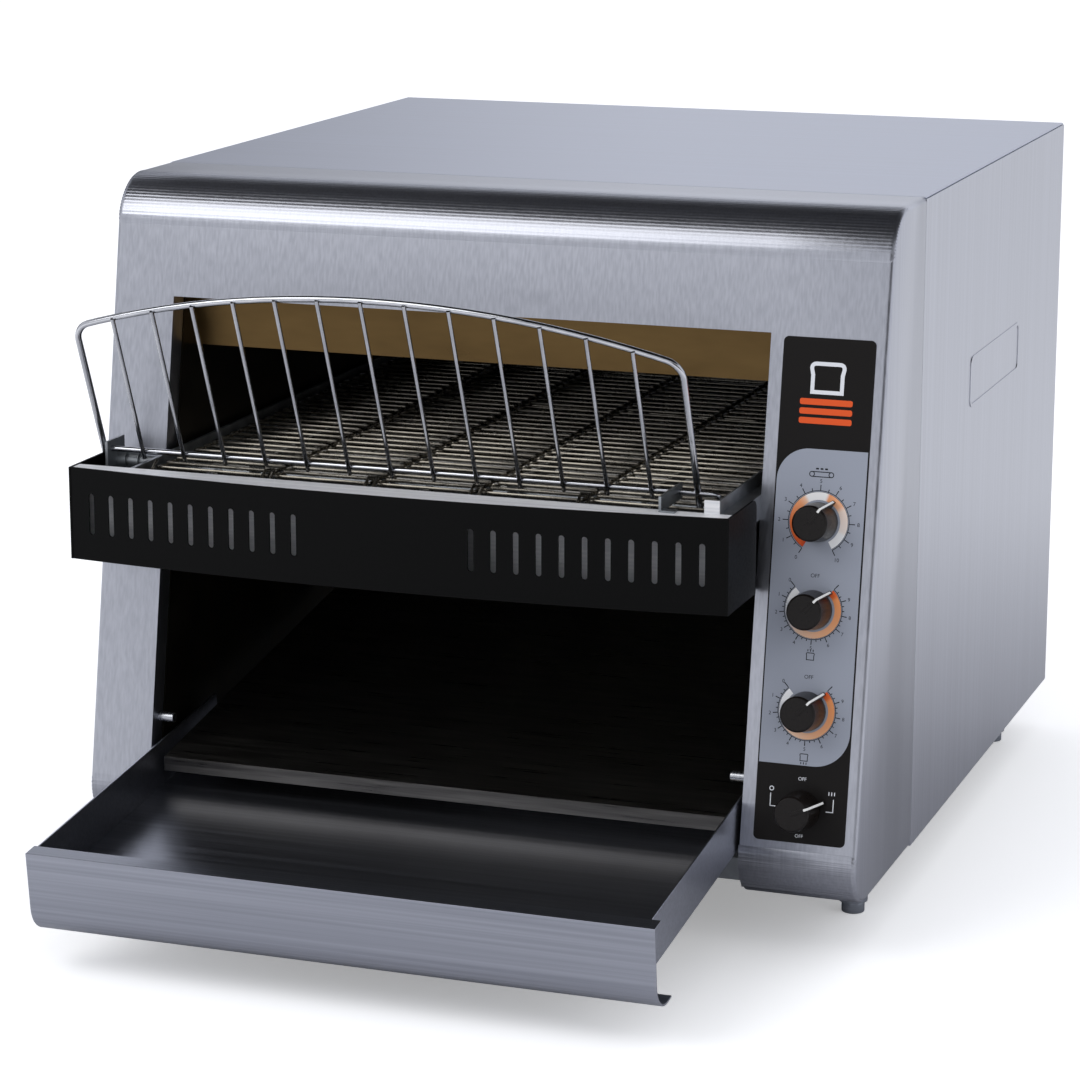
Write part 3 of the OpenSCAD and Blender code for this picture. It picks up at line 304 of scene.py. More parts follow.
def wire(name, points, radius, bends=(), bend=0.0, sides=3, steps=5):
    """A round wire: a vertex drawn out from point to point, some corners rounded, then given a section."""
    begin(bpy.ops.mesh.primitive_plane_add, name, size=MM, location=points[0])
    bpy.ops.mesh.merge(type="CENTER")
    for before, after in zip(points, points[1:]):
        step = Vector(after) - Vector(before)
        bpy.ops.mesh.extrude_vertices_move(TRANSFORM_OT_translate={"value": step, "orient_type": "GLOBAL"})
    if bends:
        turned = [Vector(points[i]) for i in bends]
        pick("verts", lambda v: any((v.co - t).length < NEAR for t in turned))
        bpy.ops.mesh.bevel(offset=bend, segments=steps, affect="VERTICES")
    bpy.ops.object.mode_set(mode="OBJECT")
    bpy.ops.object.convert(target="CURVE")
    piece = bpy.context.object
    piece.data.bevel_depth = radius
    piece.data.bevel_resolution = sides
    piece.data.use_fill_caps = True
    bpy.ops.object.convert(target="MESH")
    piece = bpy.context.object
    piece.name = name
    return piece


def copies(piece, places):
    """One copy of a piece at each place, each with its own mesh; the piece itself goes."""
    made = []
    for place in places:
        data = piece.data.copy()
        data.transform(place)
        twin = bpy.data.objects.new(piece.name, data)
        scene.collection.objects.link(twin)
        made.append(twin)
    bpy.data.objects.remove(piece)
    return made


def join(pieces, name):
    """Several pieces as one."""
    deselect()
    for piece in pieces:
        piece.select_set(True)
    bpy.context.view_layer.objects.active = pieces[0]
    bpy.ops.object.join()
    whole = bpy.context.object
    whole.name = name
    return whole


# Bright drawn stainless wire, darkened by heat to a soft straw grey
belt_wire = surface("stainless_belt_wire", "#7f7a70", "#a39d91", (90, 90, 90), (0.22, 0.32), 0.01 * MM,
                    {"Metallic": 1.0})
dress(zinc_sheet, "belt_supports", "loading_pan")
for node in ("left_rail", "right_rail"):
    settle(eased(node, 0.25 * MM), "machine", "galvanised", zinc_sheet, node)

belt_low, belt_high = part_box("conveyor_belt")
belt_r = 1.1 * MM
belt_pitch = 12.7 * MM
belt_teeth = 8
wrap_r = belt_pitch / (2 * math.sin(math.pi / belt_teeth))
belt_run = 33
idler_y = SEAM - 127 * MM
axle_z = belt_high.z - belt_r - wrap_r
left_x, right_x = belt_low.x, belt_high.x
# A rung runs straight across. Its ends and its loops reach back over the next rung and dip behind it
half_loop = 2.6 * MM
loop_count, loop_margin = 6, 8 * MM
loop_gap = (right_x - left_x - 2 * loop_margin) / (loop_count - 1)
stations = [left_x + loop_margin + i * loop_gap for i in range(loop_count)]
reach, dip = belt_pitch + 1.6 * MM, -1.9 * MM
end_bend, end_dip = reach * 0.55, -0.6 * MM
loop_bend, loop_dip = reach * 0.6, -0.5 * MM
rung = [(left_x, reach, dip), (left_x, end_bend, end_dip), (left_x, 0, 0)]
for x in stations[1:-1]:
    left, right = x - half_loop, x + half_loop
    rung += [(left, 0, 0), (left, loop_bend, loop_dip), (left, reach, dip)]
    rung += [(right, reach, dip), (right, loop_bend, loop_dip), (right, 0, 0)]
rung += [(right_x, 0, 0), (right_x, end_bend, end_dip), (right_x, reach, dip)]
rung_corners = [i for i, p in enumerate(rung) if 0 < i < len(rung) - 1 and p[2] > -0.1 * MM]
one_rung = wire("belt_rung", rung, belt_r, rung_corners, 1.4 * MM, sides=1, steps=2)
rungs = []
for i in range(belt_run + 1):
    y = idler_y + i * belt_pitch
    rungs.append(Matrix.Translation((0, y, axle_z + wrap_r)))
    rungs.append(Matrix.Translation((0, y, axle_z - wrap_r)) @ Matrix.Rotation(math.pi, 4, "X"))
for k in range(1, belt_teeth // 2):
    turn = k * math.tau / belt_teeth
    front = Matrix.Translation((0, idler_y - wrap_r * math.sin(turn), axle_z + wrap_r * math.cos(turn)))
    rear = Matrix.Translation((0, idler_y + belt_run * belt_pitch + wrap_r * math.sin(turn),
                               axle_z + wrap_r * math.cos(turn)))
    rungs.append(front @ Matrix.Rotation(turn, 4, "X"))
    rungs.append(rear @ Matrix.Rotation(-turn, 4, "X"))
belt = join(copies(one_rung, rungs), "wire_belt")
smooth(belt, 60)
settle(belt, "machine", "wire_steel", belt_wire, "conveyor_belt")

# ---- toast chute, tray runners and hold-down pins ----
# The chute is a stainless sheet rolled to a quarter round; runners are folded zinc strip.
# The pins are turned stubs riveted into the mouth's sides, just over the tray's walls.
# Stainless sheet as rolled (2B): half bright, browned a little, with faint streaks along its fold
chute_steel = surface("stainless_chute_2b", "#6d6a66", "#8b8883", (18, 500, 500), (0.26, 0.4), 0.02 * MM,
                      {"Metallic": 1.0})
# Turned steel: bright, with the tool's rings shown 0.7 mm apart
pin_steel = surface("turned_pin_steel", "#a9abb0", "#c4c6ca", (1400, 60, 60), (0.2, 0.32), 0.01 * MM,
                    {"Metallic": 1.0})
settle(eased("toast_chute", 0.3 * MM), "machine", "brushed_tray", chute_steel, "toast_chute")
dress(zinc_sheet, "tray_runners")
settle(eased("hold_down_pins", 0.6 * MM), "machine", "machined_steel", pin_steel, "hold_down_pins")

# ---- loading trim and front guard ----
# A folded stainless strip caps the pan's front. The bowed guard before it is black-painted steel with two
# groups of punched slots.
# Satin stainless, mirroring nothing sharply; pale, even and only half metal, a painted highlight on its top
# strip
trim_painted_bright = surface("satin_trim_painted_bright", "#dcdde0", "#f0f0f1", (5, 700, 700), (0.5, 0.6), 0.01 * MM,
                     {"Metallic": 0.45}, 1.0)
# Baked black paint: nearly smooth, with an orange peel of about 2 mm
black_paint = surface("baked_black_paint", "#050505", "#080808", (450, 450, 450), (0.36, 0.44), 0.02 * MM,
                      {"Specular IOR Level": 0.08})
settle(eased("loading_trim", 0.25 * MM), "machine", "brushed_tray", trim_painted_bright, "loading_trim")
settle(eased("front_guard", 0.4 * MM), "machine", "black_paint", black_paint, "front_guard")

# ---- side, back and top panels ----
# Stainless sheet with a number 4 brushed finish: upright grain on the sides, grain across on the top.
# They are folded at their edges and screwed together at the back.
def brushed(name, dark, light, scale, rough):
    """Number 4 brushed stainless: long parallel scratches, shown about 1.5 mm apart so that they read."""
    material, tree, shader = finish(name, {"Metallic": 1.0})
    scratch = grain(tree, scale, 1.0)
    level = between(tree, scratch, 0.0, 1.0)
    tree.links.new(blend_tones(tree, level, dark, light), shader.inputs["Base Color"])
    tree.links.new(between(tree, scratch, *rough), shader.inputs["Roughness"])
    relief = {"Height": scratch, "Strength": 0.1, "Distance": 0.01 * MM}
    tree.links.new(add(tree, "Bump", relief)["Normal"], shader.inputs["Normal"])
    return material


# The same cool grey steel on all panels: highlights run across the grain, whichever way it lies
upright_steel = brushed("brushed_steel_upright_grain", "#b1b3bb", "#bfc1c9", (700, 700, 3), (0.28, 0.33))
level_steel = brushed("brushed_steel_level_grain", "#aaaebb", "#b8bcc9", (3, 700, 700), (0.28, 0.33))
for node in ("left_side_panel", "right_side_panel", "back_panel"):
    settle(eased(node, 0.3 * MM), "machine", "brushed_case", upright_steel, node)
settle(eased("top_panel", 0.8 * MM), "machine", "brushed_case", level_steel, "top_panel")

# ---- front panel ----
# One stainless pressing: an upside-down U round the mouth, rolled over at its top and foot, its side edges
# rounded and the mouth's edges folded inwards.
lean = math.radians(9.8)
half_w = 235 * MM
case_top = 416 * MM
leg_h = 33 * MM
face_top = 67 * MM
mouth_l, mouth_r, mouth_top = -196 * MM, 168 * MM, 348 * MM
top_roll_r, bottom_roll_r, side_roll_r = 30 * MM, 27 * MM, 3 * MM
roll_steps = 20
sheet_t = 1.2 * MM
fold_depth = 14 * MM


def face_y(z):
    """Where the leaning face lies along Y at a height."""
    return SEAM - face_top - (case_top - z) * math.tan(lean)


def thicken(piece, thickness, offset):
    """Give a skin its thickness for good: from offset -1, all inwards, to 1, all outwards."""
    only(piece)
    wall = piece.modifiers.new("wall", "SOLIDIFY")
    wall.thickness = thickness
    wall.offset = offset
    bpy.ops.object.modifier_apply(modifier="wall")


front = begin(bpy.ops.mesh.primitive_cube_add, "front_pressing", size=1,
              location=(0, SEAM - face_top / 2, (case_top + leg_h) / 2),
              scale=(2 * half_w, face_top, case_top - leg_h))
pick("verts", lambda v: v.co.y < SEAM - face_top / 2 and v.co.z < case_top / 2)
shift(0, face_y(leg_h) - (SEAM - face_top), 0)
top_setback = top_roll_r * math.tan((math.pi / 2 - lean) / 2)
foot_setback = bottom_roll_r * math.tan((math.pi / 2 + lean) / 2)
pick("edges", lambda e: abs(e.verts[0].co.x - e.verts[1].co.x) > half_w
     and middle(e).z > case_top - MM and middle(e).y < SEAM - MM)
bpy.ops.mesh.bevel(offset=top_setback, offset_type="OFFSET", segments=roll_steps, affect="EDGES")
pick("edges", lambda e: abs(e.verts[0].co.x - e.verts[1].co.x) > half_w
     and middle(e).z < leg_h + MM and middle(e).y < SEAM - foot_setback)
bpy.ops.mesh.bevel(offset=foot_setback, offset_type="OFFSET", segments=roll_steps, affect="EDGES")
pick("faces", lambda f: middle(f).y > SEAM - NEAR)
bpy.ops.mesh.delete(type="FACE")
pick("edges", lambda e: all(abs(abs(v.co.x) - half_w) < NEAR for v in e.verts)
     and min(v.co.y for v in e.verts) < SEAM - NEAR and not e.is_boundary)
bpy.ops.mesh.bevel(offset=side_roll_r, offset_type="OFFSET", segments=5, affect="EDGES")
for place, normal in (((mouth_l, 0, 0), (1, 0, 0)), ((mouth_r, 0, 0), (1, 0, 0)),
                      ((0, 0, mouth_top), (0, 0, 1))):
    bpy.ops.mesh.select_all(action="SELECT")
    bpy.ops.mesh.bisect(plane_co=place, plane_no=normal)
pick("faces", lambda f: mouth_l < middle(f).x < mouth_r and middle(f).z < mouth_top)
bpy.ops.mesh.delete(type="FACE")
pick("edges", lambda e: e.is_boundary and middle(e).y < SEAM - 40 * MM and middle(e).z > leg_h + 6 * MM
     and mouth_l - MM < middle(e).x < mouth_r + MM and middle(e).z < mouth_top + MM)
draw_out(0, fold_depth, 0)
thicken(front, sheet_t, -1.0)
round_edges(front, 0.45 * MM, 50, flatten=False)
# The front is the same steel with an upright grain, a shade darker
front_steel = brushed("brushed_steel_front", "#b0b2ba", "#bcbec6", (700, 700, 3), (0.28, 0.33))
settle(front, "machine", "brushed_case", front_steel, "front_panel")

# ---- case screws and control bodies ----
# Pan-head screws of plated steel hold the back. A speed control, two heat controls and a power switch in
# dark moulded cases hang behind the right leg, their necks through the front.
# Moulded thermoset: dull black-brown with a fine matt skin of about half a millimetre
case_plastic = surface("moulded_thermoset", "#191817", "#23211f", (1800, 1800, 1800), (0.5, 0.62),
                       0.02 * MM, {})
settle(eased("case_screws", 0.5 * MM), "machine", "machined_steel", pin_steel, "case_screws")
for node in ("speed_control", "top_heat_control", "bottom_heat_control", "power_switch"):
    settle(eased(node, 0.5 * MM), "machine", "control_plastic", case_plastic, node)

# ---- control label ----
# Polyester film printed from behind and stuck to the face: black, with a silver field round three dials.
# Each print colour is a skin a few hundredths of a millimetre thick, carried as an attribute called ink.
knob_x = 201.8 * MM
dial_z = {"speed": 247 * MM, "top_heat": 199 * MM, "bottom_heat": 143.5 * MM, "power": 89 * MM}
label_w, label_t = 52.5 * MM, 0.5 * MM
skin = 0.04 * MM
silver, dark_ink, white_ink, orange = "#999eaa", "#101216", "#dfe1e6", "#e0592a"


def on_face(z, out, turn=0.0):
    """A seat on the dial line: +Z out of the face, +Y up it, turned clockwise by degrees."""
    seat = Matrix.Translation((knob_x, face_y(z), z)) @ Matrix.Rotation(math.pi / 2 - lean, 4, "X")
    return seat @ Matrix.Translation((0, 0, out)) @ Matrix.Rotation(-math.radians(turn), 4, "Z")


def inked(piece, ink):
    """Store a flat piece's ink: one hex tone, or a rule that gives a tone for a place."""
    if piece.mode == "EDIT":
        bpy.ops.object.mode_set(mode="OBJECT")
    store = piece.data.attributes.new("ink", "FLOAT_COLOR", "POINT")
    for vertex, spot in zip(piece.data.vertices, store.data):
        spot.color = ink(vertex.co) if callable(ink) else tone(ink)
    return piece


def arc(inner, outer, start, end, ink, steps=1):
    """A printed arc between two radii, from one clockwise angle to another, 0 straight up."""
    side, rise = math.sin(math.radians(start)), math.cos(math.radians(start))
    piece = begin(bpy.ops.mesh.primitive_plane_add, "arc", size=MM)
    bpy.ops.mesh.merge(type="CENTER")
    shift(inner * side, inner * rise, 0)
    step = ((outer - inner) * side, (outer - inner) * rise, 0)
    bpy.ops.mesh.extrude_vertices_move(TRANSFORM_OT_translate={"value": step, "orient_type": "GLOBAL"})
    bpy.ops.mesh.select_all(action="SELECT")
    bpy.ops.mesh.spin(steps=steps, angle=math.radians(end - start), center=(0, 0, 0), axis=(0, 0, 1))
    bpy.ops.mesh.select_all(action="SELECT")
    bpy.ops.mesh.remove_doubles(threshold=0.001 * MM)
    return inked(piece, ink)


def patch(name, x, y, width, height, z=0.0):
    """A flat rectangle about its middle, open in edit mode."""
    piece = begin(bpy.ops.mesh.primitive_plane_add, name, size=1)
    bpy.ops.transform.resize(value=(width, height, 1))
    shift(x, y, z)
    return piece


def bar(x, y, width, height, ink):
    """A printed bar about its middle."""
    piece = patch("bar", x, y, width, height)
    bpy.ops.mesh.bevel(offset=min(width, height) * 0.3, segments=2, affect="VERTICES")
    return inked(piece, ink)


def figures(text, height, x, y, ink):
    """Printed figures of a given height about their middle."""
    deselect()
    bpy.ops.object.text_add()
    bpy.context.object.data.body = text
    bpy.ops.object.convert(target="MESH")
    piece = bpy.context.object
    corners = [v.co for v in piece.data.vertices]
    low = Vector(map(min, *corners))
    high = Vector(map(max, *corners))
    size = height / (high.y - low.y)
    fit = Matrix.Translation((x, y, 0)) @ Matrix.Scale(size, 4) @ Matrix.Translation(-(low + high) / 2)
    piece.data.transform(fit)
    return inked(piece, ink)


def slice_outline(x, y, width, line, ink):
    """The outline of a slice of bread: a square whose upper corners bulge and are round."""
    piece = patch("slice", x, y, width, 0.94 * width)
    bpy.ops.mesh.bisect(plane_co=(0, y + 0.08 * width, 0), plane_no=(0, 1, 0))
    for side in (-1, 1):
        pick("verts", lambda v: v.co.y > y + 0.3 * width and (v.co.x - x) * side > 0)
        shift(side * 0.09 * width, 0, 0)
    pick("verts", lambda v: v.co.y > y + 0.3 * width)
    bpy.ops.mesh.bevel(offset=0.24 * width, segments=8, affect="VERTICES")
    pick("faces", lambda f: True)
    bpy.ops.mesh.dissolve_faces()
    bpy.ops.mesh.inset(thickness=line)
    bpy.ops.mesh.delete(type="FACE")
    return inked(piece, ink)


def placed(pieces, seat):
    """Move flat printed pieces onto the label."""
    for piece in pieces:
        piece.data.transform(seat)
    return pieces


def mixed(stops):
    """A rule for ink that follows the clockwise angle round a dial between stops of angle and tone."""
    def ink(place):
        angle = math.degrees(math.atan2(place.x, place.y))
        angle += 360 * (angle < stops[0][0] - 1)
        for (a, low), (b, high) in zip(stops, stops[1:]):
            if angle <= b:
                share = min(max((angle - a) / (b - a), 0.0), 1.0)
                return [p + (q - p) * share for p, q in zip(tone(low), tone(high))]
        return tone(stops[-1][1])
    return ink


# The silver field, two of its corners cut round
prints = []
field_low, field_high = 113.5 * MM, 286.5 * MM
field_h = (field_high - field_low) / math.cos(lean)
field_w = label_w - 1.6 * MM
field = patch("field", 0, 0, field_w, field_h)
pick("verts", lambda v: v.co.x < 0 and v.co.y > 0)
bpy.ops.mesh.bevel(offset=18 * MM, segments=14, affect="VERTICES")
pick("verts", lambda v: v.co.x > field_w * 0.49 and v.co.y < 0)
bpy.ops.mesh.bevel(offset=20 * MM, segments=14, affect="VERTICES")
prints += placed([inked(field, silver)], on_face((field_low + field_high) / 2, label_t + 0.2 * skin))

# Speed dial: 0 to 10 in half steps over 300 degrees, round a band that pales towards the fast end.
# Above it stands a belt on two rollers with three slices on top
above = label_t + 0.9 * skin
band_in, speed_out, speed_end = 12.2 * MM, 16.5 * MM, 150
rail_y, roller_x = 26.25 * MM, 5.5 * MM
speed_band = mixed([(-150, "#c8441c"), (-141, "#dd5c2b"), (-95, "#e5733c"), (-48, "#eba070"),
                    (-34, "#f0c3a4"), (-28, "#f1efee"), (14, "#f1efee"), (20, "#eba070"), (52, "#eeb48e"),
                    (62, "#efd9cb"), (108, "#f0e4dc"), (116, "#f3f3f4"), (150, "#f3f3f4")])
dial = [arc(band_in, speed_out, -speed_end, speed_end, speed_band, 120)]
dial += [arc(17.1 * MM, 17.5 * MM, -speed_end, speed_end, dark_ink, 80)]
dial += [arc(speed_out, 16.7 * MM, -speed_end, speed_end, dark_ink, 80)]
for i in range(21):
    angle = -speed_end + 15 * i
    tip = 20.6 if i % 2 == 0 else 18.9
    dial.append(arc(17.4 * MM, tip * MM, angle - 0.75, angle + 0.75, dark_ink))
for i in range(11):
    around = math.radians(-speed_end + 30 * i)
    out = (23.4 if i in (0, 10) else 22.6) * MM
    dial.append(figures(str(i), 2.1 * MM, out * math.sin(around), out * math.cos(around), dark_ink))
for side in (1, -1):
    dial.append(bar(0, rail_y + side * 1.35 * MM, 2 * roller_x, 0.5 * MM, dark_ink))
for side in (-1, 1):
    ring = arc(1.1 * MM, 1.6 * MM, 0, 360, dark_ink, 24)
    ring.data.transform(Matrix.Translation((side * roller_x, rail_y, 0)))
    dial.append(ring)
for i in range(3):
    dial.append(bar((i - 1) * 2.6 * MM, 29.3 * MM, 1.7 * MM, 0.9 * MM, dark_ink))
prints += placed(dial, on_face(dial_z["speed"], above))

# Heat dials: OFF and 0 to 9, anticlockwise. Below each is a slice with its heat strokes above or below it
heat_out, heat_start, heat_end = 15.9 * MM, 42.5, 317.5
heat_turn = heat_end - heat_start
heat_band = mixed([(42, "#e0592a"), (56, "#e4713c"), (62, "#ee9a62"), (100, "#eda06c"), (160, "#eeb48c"),
                   (215, "#e6c4ab"), (240, "#c9c9cf"), (280, "#d8dade"), (290, "#f4f4f5"), (318, "#f4f4f5")])
for name, stroke_y in (("top_heat", -22.6 * MM), ("bottom_heat", -29.2 * MM)):
    dial = [arc(band_in, heat_out, heat_start, heat_end, heat_band, 110)]
    dial += [arc(16.3 * MM, 16.7 * MM, heat_start, heat_end, dark_ink, 74)]
    dial += [arc(15.8 * MM, 16.0 * MM, heat_start, heat_end, dark_ink, 74)]
    for i in range(31):
        angle = heat_end - heat_turn / 30 * i
        tip = 20.2 if i % 30 == 0 else 19.4 if i % 3 == 0 else 17.7
        dial.append(arc(16.6 * MM, tip * MM, angle - 0.8, angle + 0.8, dark_ink))
    for i in range(10):
        around = math.radians(heat_end - heat_turn / 10 * i)
        out = 21.2 * MM
        dial.append(figures(str(i), 2.0 * MM, out * math.sin(around), out * math.cos(around), dark_ink))
    dial.append(figures("OFF", 2.1 * MM, 0, 19.0 * MM, dark_ink))
    dial.append(slice_outline(0, -25.9 * MM, 4.6 * MM, 0.45 * MM, dark_ink))
    for i in range(3):
        dial.append(bar((i - 1) * 1.5 * MM, stroke_y, 0.5 * MM, 1.3 * MM, dark_ink))
    prints += placed(dial, on_face(dial_z[name], above))

# Power dial, white on the black film: OFF above and below, and lines at its sides to a ring and to strokes
on_film = label_t + 0.2 * skin
dial = [figures("OFF", 1.9 * MM, 0, 17.4 * MM, white_ink)]
dial += [figures("OFF", 1.9 * MM, 0, -14.6 * MM, white_ink)]
for x, y, width, height in ((18.4, 3.9, 0.5, 7.4), (16.5, 0.4, 4.2, 0.5), (-17.6, 4.3, 0.5, 7.4),
                            (-15.9, 0.8, 3.8, 0.5)):
    dial.append(bar(x * MM, y * MM, width * MM, height * MM, white_ink))
for i in range(3):
    dial.append(bar((15.6 + 1.6 * i) * MM, 10.6 * MM, 0.5 * MM, 2.1 * MM, white_ink))
ring = arc(0.9 * MM, 1.35 * MM, 0, 360, white_ink, 24)
ring.data.transform(Matrix.Translation((-17.2 * MM, 10.6 * MM, 0)))
dial.append(ring)
prints += placed(dial, on_face(dial_z["power"], on_film))

# The label's top: a slice outline over three bars
crest = [slice_outline(0, 0, 19 * MM, 2.2 * MM, white_ink)]
for i in range(3):
    crest.append(bar(0, (-13.2 - 5.2 * i) * MM, 30 * MM, 3.4 * MM, orange))
prints += placed(crest, on_face(325 * MM, on_film))

print_skin = join(prints, "label_print")
thicken(print_skin, skin, 0.0)
bpy.ops.object.mode_set(mode="EDIT")
bpy.ops.mesh.select_all(action="SELECT")
bpy.ops.mesh.normals_make_consistent(inside=False)
bpy.ops.object.mode_set(mode="OBJECT")
# Screen-printed ink on satin polyester: even colour with a very fine matt tooth
ink_film, tree, shader = finish("screen_printed_ink", {"Specular IOR Level": 0.15})
tooth = grain(tree, (2600, 2600, 2600))
tree.links.new(add(tree, "Attribute", {}, attribute_name="ink")["Color"], shader.inputs["Base Color"])
tree.links.new(between(tree, tooth, 0.34, 0.44), shader.inputs["Roughness"])
settle(print_skin, "machine", "label_film", ink_film)
# The film itself: satin black polyester, its tooth shown half a millimetre apart
black_film = surface("satin_polyester_film", "#12100f", "#171413", (2200, 2200, 2200), (0.3, 0.4),
                     0.01 * MM, {"Specular IOR Level": 0.15})
settle(eased("control_label", 0.12 * MM), "machine", "label_film", black_film, "control_label")

# ---- control knobs ----
# Four moulded phenolic knobs pushed onto their spindles: a slightly tapered grip with a pointer fin down
# one side, whose crest is filled with white.
# Phenolic: near black with a warm cast, satin from use
phenolic = surface("moulded_phenolic", "#0f0c0a", "#171210", (700, 700, 700), (0.26, 0.36), 0.02 * MM,
                   {"Specular IOR Level": 0.25})
# Filled white line: matt paint, slightly greyed by hands
line_paint = surface("white_filler_paint", "#dcdcd9", "#efefed", (900, 900, 900), (0.45, 0.6), 0.01 * MM, {})
knob_seat = label_t + 0.8 * MM
crest_z = 20.82 * MM
line_turns = {"speed": 35, "top_heat": 42.5, "bottom_heat": 42.5, "power": 67}
for dial_name, turn in line_turns.items():
    body, node = dial_name + "_dial", dial_name + "_knob"
    settle(eased(node, 0.7 * MM, 40), body, "knob_plastic", phenolic, node)
    line = patch(node + "_line", 0, 9.0 * MM, 1.3 * MM, 2.4 * MM, crest_z)
    pick("edges", lambda e: middle(e).y > 10.1 * MM)
    draw_out(0, 4.25 * MM, -19.0 * MM)
    thicken(line, 0.3 * MM, 0.2)
    line.data.transform(on_face(dial_z[dial_name], knob_seat, turn))
    round_edges(line, 0.08 * MM, 40)
    settle(line, body, "knob_plastic", line_paint)

# ---- bread rack ----
# Chromed spring wire: a frame with an arched top, thirteen ribs welded to its front, and a pivot wire that
# turns in two clips above the loading pan.
pivot_y, pivot_z, rest_turn = SEAM - 122 * MM, 264 * MM, 112.5
rack_seat = Matrix.Translation((0, pivot_y, pivot_z)) @ Matrix.Rotation(math.radians(rest_turn), 4, "X")
rack_mid, half_rack = -41 * MM, 181 * MM
arch_r, arch_top = 581 * MM, 112 * MM
frame_foot = -13 * MM


def arch(x):
    """Height of the arch's centre line at a distance from the rack's middle."""
    return arch_top - arch_r + math.sqrt(arch_r ** 2 - x ** 2)


arch_steps = [half_rack * (i / 12 - 1) for i in range(25)]
frame_points = [(rack_mid - half_rack, frame_foot, 0)]
frame_points += [(rack_mid + x, arch(x), 0) for x in arch_steps]
frame_points += [(rack_mid + half_rack, frame_foot, 0)]
wires = [wire("frame_wire", frame_points, 1.9 * MM, (1, 25), 8.6 * MM, sides=4, steps=6)]
# One rib stands for all: each copy is stretched from its foot up to the arch
rib_foot, rib_top, rib_front = -3.6 * MM, 62 * MM, 2.5 * MM
rib_points = [(0, rib_foot, rib_front), (0, 60 * MM, rib_front), (0, rib_top, rib_front)]
rib = wire("rib", rib_points, 1.25 * MM, sides=3)
places = []
for i in range(13):
    x = (i - 6) * 25.8 * MM
    stretch = (arch(x) + 0.6 * MM - rib_foot) / (rib_top - rib_foot)
    lift = Matrix.Translation((rack_mid + x, rib_foot, 0)) @ Matrix.Diagonal((1, stretch, 1, 1))
    places.append(lift @ Matrix.Translation((0, -rib_foot, 0)))
wires += copies(rib, places)
pivot_end = 152 * MM
pivot = [(rack_mid - half_rack + 1 * MM, 0, 0), (pivot_end, 0, 0), (pivot_end, -9 * MM, 0)]
wires.append(wire("pivot_wire", pivot, 1.75 * MM, (1,), 3.5 * MM, sides=3, steps=5))
rack = join(wires, "rack_wires")
rack.data.transform(rack_seat)
smooth(rack, 50)
# Bright chrome plate over spring wire: mirror finish with long faint waves from drawing
chrome = surface("chromed_spring_wire", "#b9bbc0", "#d2d3d7", (60, 60, 60), (0.1, 0.2), 0.02 * MM,
                 {"Metallic": 1.0})
settle(rack, "rack", "chrome_wire", chrome, "bread_rack")
settle(eased("rack_clips", 0.2 * MM), "machine", "galvanised", zinc_sheet, "rack_clips")

# ---- product tray ----
# Folded stainless sheet, brushed across: a floor between two low walls, and a deep rolled lip at the front
# that serves as its handle.
# Brushed stainless with its grain across the tray, a shade darker than the panels
tray_steel = brushed("brushed_steel_tray", "#a6a9b3", "#b6b9c3", (3, 600, 600), (0.28, 0.34))
settle(eased("product_tray", 0.35 * MM), "tray", "brushed_tray", tray_steel, "product_tray")

# ---- terminal block, fan and inlet ----
# A ceramic terminal block stands on the pan. A boxed axial fan blows out through a wire grille at the back,
# and a black gland closes the inlet of the mains lead below it.
# Glass-filled nylon: black, with a faint grey bloom
nylon = surface("glass_filled_nylon", "#151617", "#202123", (1300, 1300, 1300), (0.42, 0.55), 0.02 * MM, {})
settle(eased("terminal_block", 0.5 * MM), "machine", "ceramic", ceramic, "terminal_block")
settle(eased("fan_frame", 0.5 * MM), "machine", "fan_plastic", nylon, "fan_frame")
settle(eased("fan_impeller", 0.3 * MM), "fan_wheel", "fan_plastic", nylon, "fan_impeller")
settle(eased("fan_grille", 0.3 * MM), "machine", "chrome_wire", chrome, "fan_grille")
settle(eased("inlet_gland", 0.5 * MM), "machine", "knob_plastic", nylon, "inlet_gland")


# ---- floor, world and lamps ----
# A plain white floor that keeps the shadow, a white surround with three dark cards that only mirrors see,
# and two soft boxes.
def stage_surface():
    """White to the eye, with painted shade near the machine for what mirrors it, light grey where it bounces
    light.
    """
    material, tree, shader = finish("white_floor", {"Roughness": 0.9, "Specular IOR Level": 0.0})
    path = add(tree, "LightPath", {})
    place = add(tree, "TexCoord", {})["Object"]
    away = add(tree, "VectorMath", {0: place}, operation="LENGTH")["Value"]
    # Painted shade for mirrors: grey close to the machine, paling to white between 0.28 m and 1.1 m out
    mirrored = blend_tones(tree, between(tree, away, 0.0, 1.0, 0.28, 1.1), "#b8b8bc", "#ffffff")
    lit = {0: path["Is Glossy Ray"], 6: tone("#c4c4c4"), 7: mirrored}
    lit = add(tree, "Mix", lit, data_type="RGBA")[2]
    shown = {0: path["Is Camera Ray"], 6: lit, 7: tone("#ffffff")}
    tree.links.new(add(tree, "Mix", shown, data_type="RGBA")[2], shader.inputs["Base Color"])
    shader.inputs["Emission Color"].default_value = tone("#ffffff")
    glow = add(tree, "Math", {0: path["Is Camera Ray"], 1: 0.3}, operation="MULTIPLY")[0]
    tree.links.new(glow, shader.inputs["Emission Strength"])
    return material


deselect()
bpy.ops.mesh.primitive_plane_add(size=12.0, location=(0, 1.0, 0))
floor = bpy.context.object
floor.name = "floor"
bpy.ops.object.transform_apply(location=True)
floor.data.materials.append(stage_surface())

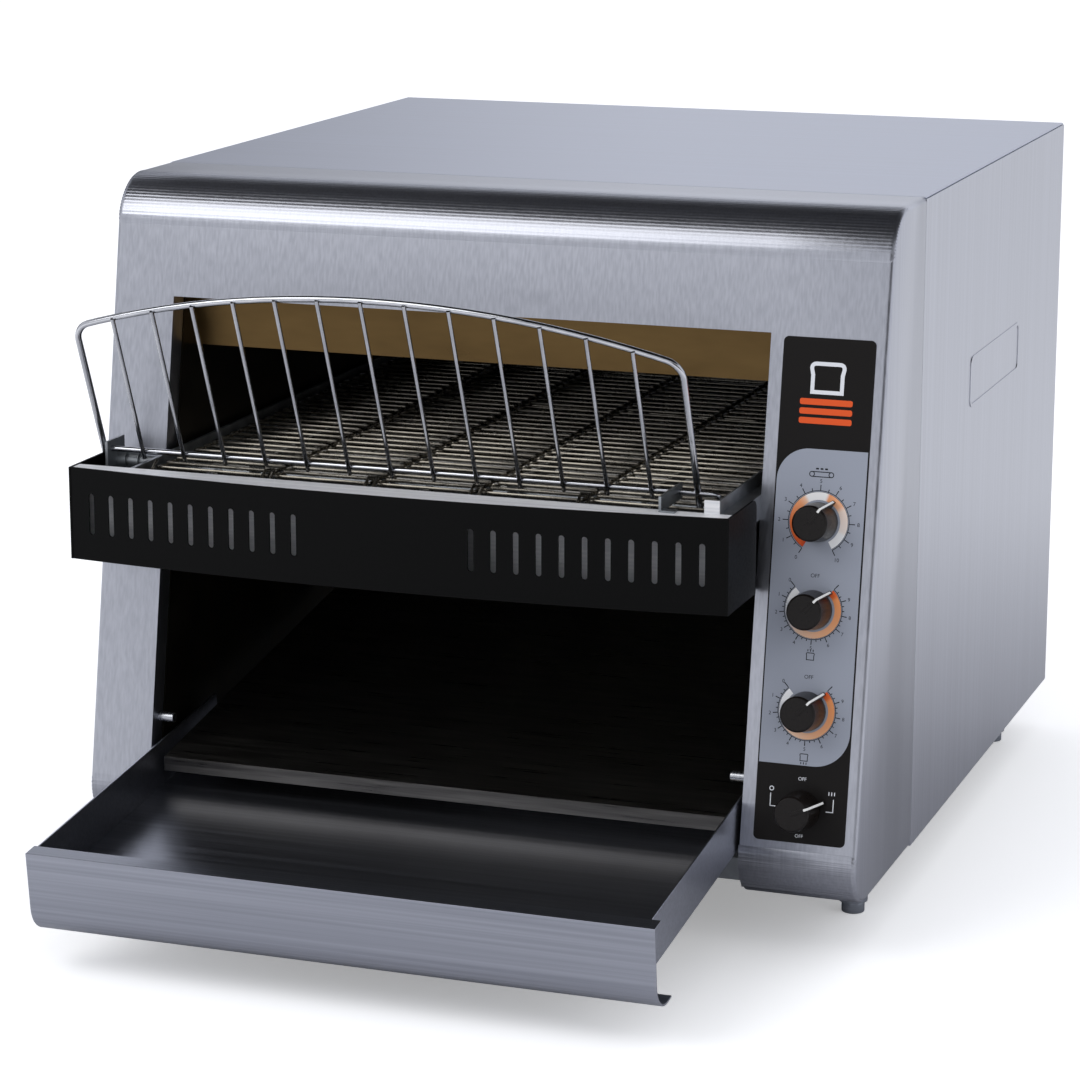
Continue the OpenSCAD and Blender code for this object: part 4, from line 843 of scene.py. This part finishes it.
world = bpy.data.worlds.new("studio")
scene.world = world
world.use_nodes = True
sky = world.node_tree
background = sky.nodes["Background"]
path = add(sky, "LightPath", {})
way = add(sky, "TexCoord", {})["Generated"]
parts = add(sky, "SeparateXYZ", {"Vector": way})
mirrored = blend_tones(sky, between(sky, parts["Y"], 0.0, 1.0, -0.3, 0.3), "#d4d6dc", "#eef1fa")
# Each card lies round one direction, its soft edge between two cosines of the angle from it
ceiling_card = ((0, 0, 1), 0.52, 0.66)
near_right_card = ((0.68, -0.73, 0), 0.85, 0.95)
far_left_card = ((-0.77, 0.64, 0), 0.84, 0.95)
for aim, start, end in (ceiling_card, near_right_card, far_left_card):
    near = add(sky, "VectorMath", {0: way, 1: aim}, operation="DOT_PRODUCT")["Value"]
    card = {0: between(sky, near, 0.0, 1.0, start, end), 6: mirrored, 7: tone("#101013")}
    mirrored = add(sky, "Mix", card, data_type="RGBA")[2]
seen = add(sky, "Math", {0: path["Is Glossy Ray"], 1: path["Is Transmission Ray"]}, operation="MAXIMUM")[0]
lit = add(sky, "Mix", {0: seen, 6: tone("#e6e8ee"), 7: mirrored}, data_type="RGBA")[2]
shown = add(sky, "Mix", {0: path["Is Camera Ray"], 6: lit, 7: tone("#ffffff")}, data_type="RGBA")[2]
sky.links.new(shown, background.inputs["Color"])


def soft_box(name, place, aim, size, power):
    """A rectangular lamp at a place, turned to look at a point."""
    lamp = bpy.data.lights.new(name, "AREA")
    lamp.shape = "RECTANGLE"
    lamp.size, lamp.size_y = size
    lamp.energy = power
    box = bpy.data.objects.new(name, lamp)
    box.location = place
    box.rotation_euler = (Vector(aim) - Vector(place)).to_track_quat("-Z", "Y").to_euler()
    scene.collection.objects.link(box)
    return box


soft_box("key_box", (-1.1, -1.5, 1.7), (0, 0, 0.25), (1.7, 1.3), 15)
fill_box = soft_box("fill_box", (1.9, -1.0, 1.2), (0, 0, 0.2), (0.8, 1.2), 6)
fill_box.visible_glossy = False

scene.view_settings.view_transform = "Standard"
